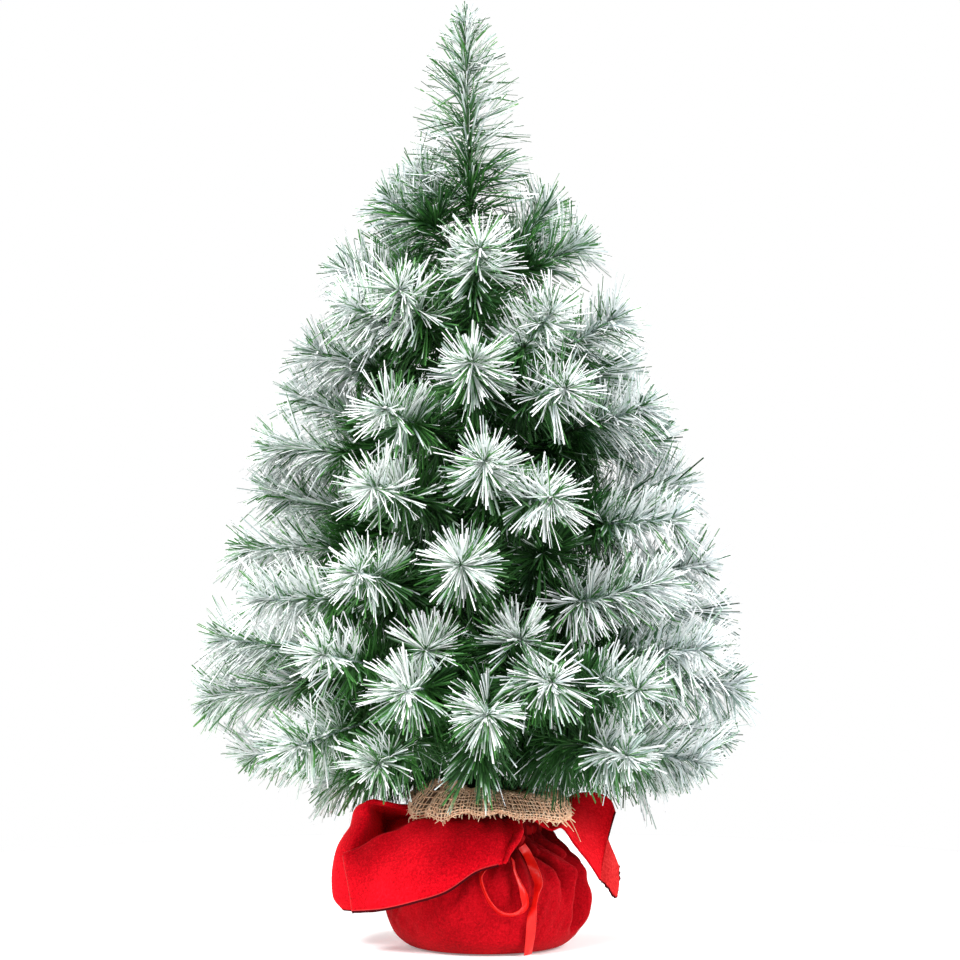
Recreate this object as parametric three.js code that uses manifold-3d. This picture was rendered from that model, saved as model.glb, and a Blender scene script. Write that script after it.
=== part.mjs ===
// Tabletop artificial pine with frosted tips, in a cloth-wrapped weighted base.
// Millimetres, +Z up. Origin: centre of the underside of the cloth base, on the table.
// +Y is the back of the tree and -Y the side that the ribbon hangs on.
import * as THREE from 'three';
import { mergeVertices } from 'three/addons/utils/BufferGeometryUtils.js';
import Module from 'manifold-3d';

const wasm = await Module();
wasm.setup();

// ---- driving dimensions -------------------------------------------------
const LEAN = -0.0167;            // the trunk leans about one degree to the left (x per unit z)
const BAG_X = 2.5;               // the gathered cloth sits a little right of the trunk's foot
const ROD_R = 3.2;               // steel core rod
const ROD_Z = [10, 458.2];
const WRAP = [                   // tape-wound bundles of branch wires, thinner towards the top
  ['trunk_wrap_lower', 57.5, 225, 8.0],
  ['trunk_wrap_middle', 225.6, 345, 7.0],
  ['trunk_wrap_upper', 345.6, 456, 5.6],
];
const WRAP_BORE = 3.6;
const TUB = { z0: 4.6, z1: 49, r0: 43.0, r1: 46.0, wall: 1.6 };
const BEAD_R = 2.6;              // the bent root of a branch wire, its hinge
const WIRE_R = 1.5;              // twisted wire of a branch
const TWIG_R = 1.2;              // twisted wire of a side sprig
const CORE_R = 6.0;              // stiff inner part of the needle brush
const CORE_OVER = 5.0;           // the brush reaches this far past its wire
const CLOTH_T = 2.4;             // felt with its hem and folds
const FLAP_T = 2.6;
const RIBBON = { w: 5.6, t: 1.0 };

// Branches: [azimuth deg, root height, fork point, [tip x y z, brush start x y z] ...]
const BRANCHES = [
  [161.0, 132.8, [-53.8, 16.7, 131.3], [[-148.6, 12.8, 119.7, -85.7, 12.3, 125.2], [-105.0, 67.3, 97.0, -66.7, 35.2, 113.3]]],
  [17.0, 136.2, [53.3, 16.2, 136.9], [[151.4, 25.7, 132.8, 87.9, 17.9, 134.3], [114.8, 52.8, 99.7, 70.4, 29.1, 117.1]]],
  [-38.5, 140.3, [44.1, -37.3, 143.3], [[87.3, -126.3, 130.7, 55.9, -70.7, 135.7], [135.3, -56.4, 121.4, 75.3, -39.3, 131.1]]],
  [103.0, 148.9, [-16.6, 61.0, 154.6], [[-8.1, 161.5, 145.0, -10.6, 97.6, 148.2], [-70.4, 151.9, 165.0, -40.3, 95.6, 159.9], [-33.5, 137.2, 112.0, -21.3, 83.0, 131.1]]],
  [57.3, 153.1, [31.9, 53.6, 159.6], [[112.4, 119.2, 158.0, 64.7, 76.6, 157.7], [59.5, 154.1, 165.0, 39.9, 93.3, 161.7], [75.3, 123.7, 118.0, 44.6, 74.3, 136.3]]],
  [141.9, 158.2, [-52.4, 38.5, 165.7], [[-126.3, 111.2, 165.0, -79.9, 67.1, 164.1], [-155.7, 55.6, 178.0, -93.8, 40.8, 171.7], [-93.7, 117.4, 122.0, -61.4, 65.4, 140.5]]],
  [-130.1, 160.9, [-43.7, -48.8, 170.7], [[-95.8, -128.9, 191.9, -60.4, -76.6, 181.1], [-112.3, -112.2, 135.5, -67.3, -68.9, 149.5]]],
  [-107.5, 167.3, [-21.0, -57.5, 174.4], [[-44.8, -158.9, 171.8, -29.5, -96.7, 171.3], [-63.1, -139.8, 126.5, -36.6, -84.7, 145.5], [-34.3, -124.1, 194.6, -24.5, -79.5, 184.7]]],
  [-53.9, 168.6, [36.3, -53.6, 178.7], [[94.1, -132.8, 171.2, 56.4, -81.2, 172.8]]],
  [180.0, 172.4, [-70.1, 0.0, 183.1], [[-166.8, 0.0, 194.3, -103.2, 0.0, 187.5], [-173.2, 0.0, 157.8, -109.8, 0.0, 166.4]]],
  [-79.9, 174.6, [7.6, -60.5, 184.4], [[2.8, -165.6, 158.2, 3.8, -102.2, 166.9], [41.7, -156.6, 176.9, 21.8, -95.8, 178.2], [23.9, -123.6, 200.6, 13.6, -81.3, 192.3]]],
  [-23.9, 175.2, [56.6, -26.2, 185.9], [[133.7, -80.1, 192.2, 81.8, -46.1, 187.5], [155.1, -49.7, 167.5, 93.5, -33.2, 173.3]]],
  [99.0, 188.2, [-12.9, 62.0, 200.1], [[2.4, 159.1, 190.0, -4.6, 95.5, 192.0], [-56.6, 146.1, 205.0, -30.5, 89.3, 200.5]]],
  [52.0, 196.8, [34.6, 48.5, 209.4], [[115.7, 99.9, 205.0, 63.9, 63.3, 204.3], [63.9, 138.3, 212.0, 41.5, 80.2, 208.3]]],
  [147.0, 203.6, [-54.6, 33.3, 216.8], [[-114.2, 106.9, 212.0, -72.6, 60.1, 211.3], [-144.1, 56.7, 222.0, -86.0, 38.5, 217.0]]],
  [-0.4, 211.5, [56.0, -0.1, 225.2], [[137.5, -34.1, 243.1, 82.2, -14.9, 232.5], [146.9, 33.8, 210.7, 85.9, 14.6, 213.9]]],
  [-135.0, 215.4, [-45.3, -41.2, 229.3], [[-74.9, -127.9, 240.9, -51.6, -72.2, 232.9], [-136.1, -73.1, 222.6, -77.5, -48.2, 222.4]]],
  [98.0, 220.4, [-12.1, 59.4, 235.0], [[-24.4, 145.6, 238.0, -16.4, 88.8, 233.8]]],
  [-93.3, 228.6, [-7.3, -58.5, 243.1], [[-12.6, -144.5, 246.1, -9.2, -87.9, 241.7]]],
  [62.0, 242.8, [21.7, 48.6, 258.4], [[85.1, 106.6, 262.0, 45.3, 66.4, 257.0], [33.3, 131.7, 268.0, 22.8, 77.5, 260.5]]],
  [177.1, 247.8, [-60.9, 2.8, 264.0], [[-136.4, 13.6, 290.1, -85.6, 7.1, 275.6], [-151.5, 0.0, 251.8, -91.2, 1.1, 253.4]]],
  [128.5, 250.4, [-37.6, 41.6, 266.2], [[-55.0, 124.5, 280.0, -39.9, 70.7, 270.5], [-116.7, 78.6, 268.0, -66.3, 50.9, 263.6]]],
  [-8.2, 257.0, [47.7, -7.7, 273.2], [[125.7, 18.3, 292.0, 73.0, 4.7, 280.3], [119.2, -56.1, 271.7, 70.2, -27.3, 268.6]]],
  [-117.8, 266.0, [-29.7, -47.7, 282.9], [[-66.3, -116.6, 292.3, -42.3, -71.3, 284.7]]],
  [-78.2, 270.1, [6.3, -51.6, 287.1], [[1.1, -127.3, 307.9, 2.3, -77.0, 295.2], [42.4, -124.3, 286.3, 20.4, -75.6, 282.9]]],
  [51.0, 294.0, [25.9, 38.8, 312.0], [[76.6, 79.5, 342.0, 43.4, 50.8, 324.6], [62.4, 108.0, 308.0, 37.1, 63.0, 305.4]]],
  [130.0, 298.0, [-36.8, 37.0, 316.2], [[-61.7, 96.8, 348.0, -42.8, 57.2, 329.6], [-101.8, 81.1, 312.0, -60.0, 50.3, 309.4]]],
  [-0.5, 300.4, [41.8, 0.1, 318.6], [[102.3, -35.7, 343.6, 60.3, -15.3, 328.0], [111.9, 36.4, 322.5, 64.5, 15.6, 316.1]]],
  [176.4, 301.0, [-54.6, 2.9, 319.7], [[-115.8, 13.8, 349.9, -74.2, 7.2, 332.3], [-133.6, 0.0, 317.6, -81.5, 1.2, 313.8]]],
  [88.0, 303.6, [-3.9, 47.9, 322.2], [[4.9, 104.1, 362.0, -0.5, 64.3, 340.0], [-9.6, 126.1, 312.0, -6.5, 74.0, 311.8]]],
  [-117.9, 306.1, [-27.7, -42.4, 325.0], [[-59.5, -101.9, 340.2, -38.7, -62.8, 329.2]]],
  [-89.6, 329.4, [-5.5, -42.8, 349.8], [[-5.5, -101.0, 369.3, -5.6, -62.7, 356.2]]],
  [-58.1, 334.9, [16.9, -36.5, 355.7], [[42.9, -79.0, 400.2, 23.8, -48.2, 375.2], [51.7, -93.5, 351.9, 28.7, -56.0, 348.4]]],
  [2.4, 341.0, [33.6, 2.1, 361.8], [[83.1, -27.9, 398.6, 47.4, -10.8, 376.7], [87.9, 38.3, 368.1, 50.9, 17.4, 360.0]]],
  [163.4, 341.4, [-44.4, 11.2, 363.4], [[-85.9, 51.9, 394.8, -55.9, 26.7, 375.6], [-106.1, 0.0, 378.3, -65.5, 4.6, 366.5]]],
  [84.0, 356.9, [-2.8, 34.9, 377.9], [[44.4, 75.9, 404.0, 16.2, 46.0, 386.5], [-41.9, 87.3, 398.0, -19.8, 50.9, 383.1]]],
  [-133.2, 364.7, [-31.7, -26.8, 386.4], [[-51.8, -74.0, 414.6, -36.6, -43.2, 396.9], [-81.6, -52.1, 404.8, -50.0, -33.9, 391.3]]],
  [160.0, 391.7, [-35.8, 9.6, 410.8], [[-87.6, 0.0, 430.7, -53.6, 4.0, 416.1], [-58.7, 42.9, 448.6, -39.8, 21.2, 426.1]]],
  [85.0, 392.0, [-4.1, 31.4, 411.2], [[-1.1, 71.9, 440.0, -3.3, 44.3, 422.3]]],
  [-85.7, 392.0, [-4.5, -31.5, 411.2], [[-1.9, -71.9, 440.0, -3.8, -44.3, 422.3]]],
  [8.7, 411.4, [19.9, 3.7, 430.2], [[42.5, 15.8, 472.3, 22.7, 7.5, 447.9], [62.0, 0.0, 445.4, 34.8, 1.5, 433.7]]],
  [173.6, 438.3, [-28.7, 2.0, 456.4], [[-42.4, 7.8, 494.1, -28.0, 3.4, 472.0], [-60.1, 0.0, 475.4, -39.4, 0.8, 462.7]]],
];

// ---- helpers ------------------------------------------------------------
function clean(geometry) {
  let g = geometry.clone();
  g.deleteAttribute('normal');
  g.deleteAttribute('uv');
  g.clearGroups();
  if (!g.index) {
    const n = g.attributes.position.count;
    g.setIndex([...Array(n).keys()]);
  }
  g = mergeVertices(g, 1e-3);
  const idx = g.index.array, keep = [];
  for (let i = 0; i < idx.length; i += 3) {
    const [a, b, c] = [idx[i], idx[i + 1], idx[i + 2]];
    if (a !== b && b !== c && c !== a) keep.push(a, b, c);
  }
  const p = g.attributes.position;
  let volume = 0;
  const A = new THREE.Vector3(), B = new THREE.Vector3(), C = new THREE.Vector3();
  for (let i = 0; i < keep.length; i += 3) {
    A.fromBufferAttribute(p, keep[i]); B.fromBufferAttribute(p, keep[i + 1]); C.fromBufferAttribute(p, keep[i + 2]);
    volume += A.dot(B.cross(C));
  }
  if (volume < 0) for (let i = 0; i < keep.length; i += 3) [keep[i + 1], keep[i + 2]] = [keep[i + 2], keep[i + 1]];
  g.setIndex(keep);
  return g;
}

function solid(geometry) {
  const g = clean(geometry);
  return new wasm.Manifold(new wasm.Mesh({
    numProp: 3,
    vertProperties: new Float32Array(g.attributes.position.array),
    triVerts: new Uint32Array(g.index.array),
  }));
}

function join(geometries) {
  let body = solid(geometries[0]);
  for (const g of geometries.slice(1)) body = body.add(solid(g));
  return toGeometry(body);
}

function toGeometry(body) {
  const m = body.getMesh();
  const g = new THREE.BufferGeometry();
  g.setAttribute('position', new THREE.BufferAttribute(new Float32Array(m.vertProperties), 3));
  g.setIndex(new THREE.BufferAttribute(new Uint32Array(m.triVerts), 1));
  return g;
}

function lathe(profile, segments) {
  const g = new THREE.LatheGeometry(profile.map(([r, z]) => new THREE.Vector2(r, z)), segments);
  g.rotateX(Math.PI / 2);
  return clean(g);
}

function ngon(radius, sides) {
  const s = new THREE.Shape();
  for (let i = 0; i < sides; i++) {
    const a = (i / sides) * Math.PI * 2;
    const x = radius * Math.cos(a), y = radius * Math.sin(a);
    i ? s.lineTo(x, y) : s.moveTo(x, y);
  }
  s.closePath();
  return s;
}

function rod(from, to, radius, sides) {
  const path = new THREE.LineCurve3(from, to);
  return new THREE.ExtrudeGeometry(ngon(radius, sides), { steps: 1, extrudePath: path, bevelEnabled: false });
}

// A sheet of even thickness through a grid of points: rows[v][u] = [x, y, z].
function sheet(rows, thickness) {
  const nv = rows.length - 1, nu = rows[0].length - 1;
  const g = new THREE.BoxGeometry(1, 1, 1, nu, nv, 1);
  const p = g.attributes.position;
  const at = (u, v) => new THREE.Vector3(...rows[v][u]);
  for (let i = 0; i < p.count; i++) {
    const u = Math.round((p.getX(i) + 0.5) * nu), v = Math.round((p.getY(i) + 0.5) * nv);
    const side = p.getZ(i) * thickness;
    const du = at(Math.min(u + 1, nu), v).sub(at(Math.max(u - 1, 0), v));
    const dv = at(u, Math.min(v + 1, nv)).sub(at(u, Math.max(v - 1, 0)));
    const n = du.cross(dv).normalize();
    const q = at(u, v).addScaledVector(n, side);
    p.setXYZ(i, q.x, q.y, q.z);
  }
  return clean(g);
}

const material = (color, roughness, metalness = 0) => new THREE.MeshStandardMaterial({ color, roughness, metalness });
const root = new THREE.Group();
function put(name, geometry, mat, parent = root) {
  const mesh = new THREE.Mesh(clean(geometry), mat);
  mesh.name = name;
  parent.add(mesh);
  return mesh;
}

// ---- weighted base ------------------------------------------------------
const { z0, z1, r0, r1, wall } = TUB;
put('base_tub', lathe([
  [0, z0], [r0, z0], [r1, z1], [r1 - wall, z1], [r0 - wall + 0.1, z0 + wall], [0, z0 + wall],
], 24), material(0x2b2b2b, 0.6));

put('base_weight', lathe([
  [0, z0 + wall + 0.4], [r0 - wall - 0.4, z0 + wall + 0.4], [r1 - wall - 0.6, z1 - 5],
  [20, z1 - 4], [7.6, z1 - 4.4], [7.6, 8.2], [0, 8.2],
], 24), material(0xa9a59c, 0.95));

// The trunk stands in a plastic socket cast into the cement, and leans as one.
const trunk = new THREE.Group();
trunk.rotation.y = Math.atan(LEAN);
root.add(trunk);
put('trunk_socket', lathe([
  [0, 8.8], [5.6, 8.8], [5.6, 57], [3.6, 57], [3.6, 9.6], [0, 9.6],
], 16), material(0x1f3d28, 0.6), trunk);
put('trunk_rod', lathe([[0, ROD_Z[0]], [ROD_R, ROD_Z[0]], [ROD_R, ROD_Z[1]], [0, ROD_Z[1]]], 16), material(0x6a6d70, 0.45, 0.9), trunk);
for (const [name, a, b, r] of WRAP) {
  put(name, lathe([[WRAP_BORE, a], [r, a], [r, b], [WRAP_BORE, b], [WRAP_BORE, a]], 16), material(0x1d4a28, 0.7), trunk);
}

// Burlap: a bag round the tub, tied at the trunk, with its raw edges falling outwards as a ruffle.
const burlap = lathe([
  [0, 2.9], [45, 2.9], [50.4, 7], [51.6, 30], [51.6, 48], [46, 56], [38, 62], [28, 68], [15, 77.5], [11.9, 82.5], [11.9, 88.5],
  [15.4, 91.6], [24.6, 99.6], [34.8, 102.9], [41.9, 99.3], [44.9, 91.1],
  [46.2, 91.6], [43, 100.4], [35.2, 104.4], [24, 101.2], [14.4, 92.8], [10.6, 89.2],
  [10.6, 82.3], [14.2, 76.3], [27.2, 66.9], [37.2, 60.9], [45.1, 55], [50.2, 47.3], [50.2, 30], [49.2, 7.9], [44.6, 4.1], [0, 4.1],
], 16);
burlap.translate(1.0, 0, 0);
put('burlap_wrap', burlap, material(0xc29a63, 0.95));
put('burlap_tie', lathe([[12.3, 85.5], [13.2, 84.2], [14.8, 84.2], [15.7, 85.5], [14.8, 86.9], [13.2, 86.9], [12.3, 85.5]], 14).translate(1.0, 0, 0), material(0xb08a55, 0.95));

// Red cloth: one square drawn up round the base, tied at the neck, its four corners falling as flaps.
const bag = lathe([
  [0, 0], [46, 0], [52, 2.5], [58.5, 9], [62.5, 20], [64, 36], [59.5, 52], [50.5, 61], [41.5, 67], [34.5, 70.8], [34.5, 80], [38.5, 84.5], [40.5, 88],
  [38.2, 88.8], [36.3, 85.8], [32.1, 80.9], [32.1, 69.6], [40, 65], [48.9, 59.1], [57.2, 50.9], [61.6, 36], [60.2, 20.6], [56.5, 10.4], [50.6, 4.8], [46, 2.4], [0, 2.4],
], 20).translate(BAG_X, 0, 0);
const flapFrontLeft = sheet([
  [[21.3, -32.5, 84], [5.8, -37.4, 84.5], [-10.3, -37, 86], [-33, -36, 84.5], [-58, -35, 75.5], [-87, -31, 61]],
  [[21.2, -46, 74.2], [7.4, -53, 77.5], [-11.2, -56, 77.9], [-32.4, -52, 73.7], [-57.5, -44, 65.3], [-86, -36, 54.3]],
  [[16.7, -54, 66.5], [3.7, -62, 67.4], [-16.1, -66, 64.8], [-37.9, -61, 59.2], [-61, -52, 52.5], [-84.5, -42, 46.9]],
  [[14.8, -58, 62], [-0.1, -67, 60.6], [-19.2, -70, 54.2], [-40.2, -67, 46.4], [-62.7, -58, 39.6], [-83.1, -46, 38.7]],
  [[13, -60, 58.5], [-3.2, -68, 54.5], [-22.2, -72, 42.7], [-42.6, -69, 35.5], [-62.6, -61, 30.1], [-81, -50, 27.4]],
], FLAP_T);
const flapLeft = sheet([
  [[-33.7, -9.7, 85], [-35.4, -2, 85], [-34.4, 6.5, 85], [-29, 20, 85]],
  [[-50.9, -8, 82.7], [-61.2, -6, 87.5], [-69, 0, 88.8], [-65.8, 18, 86.3]],
  [[-60.9, -14, 73.1], [-74.8, -16, 81], [-84.2, -4, 77.1], [-77.5, 20, 70.6]],
  [[-65.8, -20, 62.4], [-80.9, -22, 66.5], [-92.3, -8, 63.6], [-85.1, 18, 56.7]],
  [[-68.2, -24, 45.2], [-83.9, -27, 48.1], [-95.9, -12, 46.9], [-90, 12, 40.7]],
  [[-69.5, -24, 32.6], [-83.2, -28, 33.1], [-94.5, -16, 32.8], [-89.7, 4, 29.5]],
  [[-73.3, -22, 27.9], [-81.4, -25, 25.8], [-88.1, -18, 25.5], [-86, -6, 25.7]],
], FLAP_T);
const flapRight = sheet([
  [[29.5, -26, 84], [36, -16, 85], [39, -4, 85.5], [38.5, 10, 85.5]],
  [[42.3, -22, 75.3], [45.1, -12, 78], [47.3, 2, 81.6], [48.9, 14, 82.9]],
  [[50.5, -23, 76.7], [53.4, -10, 81], [55.7, 4, 85.2], [59.2, 16, 89.7]],
  [[58.8, -21, 65.7], [64.4, -5, 74], [68.6, 8, 83.5], [72.9, 20, 94.5]],
  [[67.2, -16, 54.4], [72.7, -2, 65.4], [77.6, 8, 76.4], [82.4, 16, 90.4]],
  [[74.9, -12, 42.4], [77.8, -3, 55.3], [80.7, 4, 67.9], [85.4, 10, 83.3]],
], FLAP_T);
const flapRightTip = sheet([
  [[74.3, -12, 43.1], [77.1, -4, 55.4], [80, 3, 68]],
  [[79.4, -11, 38.5], [81, -3, 50.2], [82.6, 4, 60.9]],
  [[82, -9, 34.4], [84.2, -2, 42.4], [85.2, 5, 54.4]],
  [[85.3, -7, 30.3], [86.9, 0, 38.3], [87.1, 5, 49.2]],
], FLAP_T);
const flapBack = sheet([
  [[29, 26.5, 85.5], [15.3, 35.2, 85.5], [-0.8, 37.4, 85.5], [-16.3, 32.5, 85.5]],
  [[38, 42, 80], [20, 54, 82], [-4, 54, 82], [-26, 46, 80]],
  [[46, 56, 62], [24, 68, 62], [-6, 70, 62], [-32, 60, 64]],
  [[40, 64, 44], [26, 74, 30], [4, 74, 34], [-20, 68, 46]],
], FLAP_T);
put('red_cloth', join([bag, flapFrontLeft, flapLeft, flapRight, flapRightTip, flapBack]), material(0xcc0f19, 0.9));

// ---- ribbon -------------------------------------------------------------
put('ribbon_band', lathe([[35.1, 72.4], [36.3, 72.4], [36.3, 78.8], [35.1, 78.8], [35.1, 72.4]], 24).translate(BAG_X, 0, 0), material(0xe0382e, 0.45));
const knot = new THREE.SphereGeometry(1, 10, 8);
knot.scale(4.2, 5.6, 4.4);
knot.rotateZ(-64 * Math.PI / 180);
knot.translate(BAG_X + 42.2 * Math.cos(-64 * Math.PI / 180), 42.2 * Math.sin(-64 * Math.PI / 180), 71.6);
put('ribbon_knot', knot, material(0xe0382e, 0.45));

// A flat ribbon along a path over the bag, its face turned outwards from the bag's axis.
function ribbon(points, steps, twist = 0) {
  const curve = new THREE.CatmullRomCurve3(points.map(p => new THREE.Vector3(...p)));
  const g = new THREE.BoxGeometry(RIBBON.w, RIBBON.t, 1, 1, 1, steps);
  const p = g.attributes.position;
  for (let i = 0; i < p.count; i++) {
    const t = p.getZ(i) + 0.5;
    const c = curve.getPoint(t), d = curve.getTangent(t);
    const out = new THREE.Vector3(c.x - BAG_X, c.y, 0).normalize();
    const side = new THREE.Vector3().crossVectors(d, out).normalize();
    const face = new THREE.Vector3().crossVectors(side, d).normalize();
    const q = c.addScaledVector(side, p.getX(i)).addScaledVector(face, p.getY(i));
    p.setXYZ(i, q.x, q.y, q.z);
  }
  return clean(g);
}
const LOOP = [[10.5, -54.6, 61.0], [4.4, -58.4, 57.8], [0.2, -62.4, 51.0], [2.6, -66.0, 41.2], [7.2, -66.6, 32.2], [13.2, -66.2, 26.6], [20.2, -65.4, 25.8], [25.2, -63.8, 30.6], [26.0, -62.8, 40.8], [22.4, -59.8, 52.8], [20.4, -54.0, 60.0]];
const TAIL = [[24.6, -44.2, 68], [28.1, -44.9, 62.7], [31.6, -51.2, 56], [35.1, -56.2, 46.4], [33.8, -59.2, 39.7], [31.2, -60.6, 26.9], [30, -57.8, 14], [28.9, -51.6, 3.6]];
put('ribbon_loop', ribbon(LOOP, 18), material(0xe0382e, 0.45));
put('ribbon_tail', ribbon(TAIL, 12), material(0xe0382e, 0.45));

// ---- branches -----------------------------------------------------------
const V = (a) => new THREE.Vector3(...a);
const trunkRadius = (z) => (z < 225 ? WRAP[0][3] : z < 345 ? WRAP[1][3] : WRAP[2][3]);
// One side sprig: bare wire from the fork, then the stiff inner part of its needle brush.
function sprig(fork, tip, bare) {
  const axis = tip.clone().sub(fork), length = axis.length() + CORE_OVER;
  const g = new THREE.LatheGeometry([
    [0, -1.2], [TWIG_R, -0.6], [TWIG_R, bare], [CORE_R, bare + 0.3 * (length - bare)], [CORE_R - 0.6, length - 9], [0, length],
  ].map(([r, y]) => new THREE.Vector2(r, y)), 5);
  g.applyQuaternion(new THREE.Quaternion().setFromUnitVectors(new THREE.Vector3(0, 1, 0), axis.normalize()));
  g.translate(fork.x, fork.y, fork.z);
  return g;
}
BRANCHES.forEach(([az, zr, fork, tips], i) => {
  const a = az * Math.PI / 180, reach = trunkRadius(zr) + BEAD_R + 0.5;
  const pivot = new THREE.Vector3(LEAN * zr + reach * Math.cos(a), reach * Math.sin(a), zr);
  const S = V(fork);
  const past = S.clone().sub(pivot).normalize().multiplyScalar(0.8).add(S);
  const parts = [
    new THREE.SphereGeometry(BEAD_R, 6, 3).rotateX(Math.PI / 2).translate(pivot.x, pivot.y, pivot.z),
    rod(pivot, past, WIRE_R, 4),
  ];
  for (const t of tips) {
    const tip = V(t.slice(0, 3)), start = V(t.slice(3, 6));
    parts.push(sprig(S, tip, S.distanceTo(start)));
  }
  const shade = i % 3;
  put(`branch_${String(i + 1).padStart(2, '0')}`, join(parts), material([0x2f6b3d, 0x356f45, 0x2a6238][shade], 0.7));
});

// ---- leader: the upright sprig at the top --------------------------------
put('leader', lathe([
  [0, 458.9], [2.6, 460.4], [3.1, 462], [2.4, 464.6], [1.6, 466], [1.6, 476], [6, 486], [7, 500], [7, 532], [6.2, 560], [4.6, 580], [2.2, 592], [0, 596],
], 8), material(0x4d8a5c, 0.7), trunk);

export default root;
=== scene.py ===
"""A frosted tabletop pine in a ribbon-tied red cloth, modelled round its CAD frame."""
import math

import bpy
import numpy as np
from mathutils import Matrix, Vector


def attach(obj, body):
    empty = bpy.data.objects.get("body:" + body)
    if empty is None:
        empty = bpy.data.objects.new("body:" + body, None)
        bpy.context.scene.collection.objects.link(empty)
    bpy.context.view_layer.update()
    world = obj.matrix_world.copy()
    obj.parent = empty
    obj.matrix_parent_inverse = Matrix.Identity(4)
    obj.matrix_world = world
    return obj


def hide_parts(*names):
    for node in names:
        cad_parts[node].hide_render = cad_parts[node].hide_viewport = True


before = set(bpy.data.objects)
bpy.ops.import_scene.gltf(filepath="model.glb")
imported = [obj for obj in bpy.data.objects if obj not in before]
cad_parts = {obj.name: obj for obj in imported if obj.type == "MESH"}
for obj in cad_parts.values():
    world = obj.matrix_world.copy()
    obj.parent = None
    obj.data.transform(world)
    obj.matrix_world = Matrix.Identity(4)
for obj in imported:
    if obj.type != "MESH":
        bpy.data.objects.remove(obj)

MM = 0.001
FIXED = "base_and_trunk"
LEAN = -0.0167
BAG_X = 2.5

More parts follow.
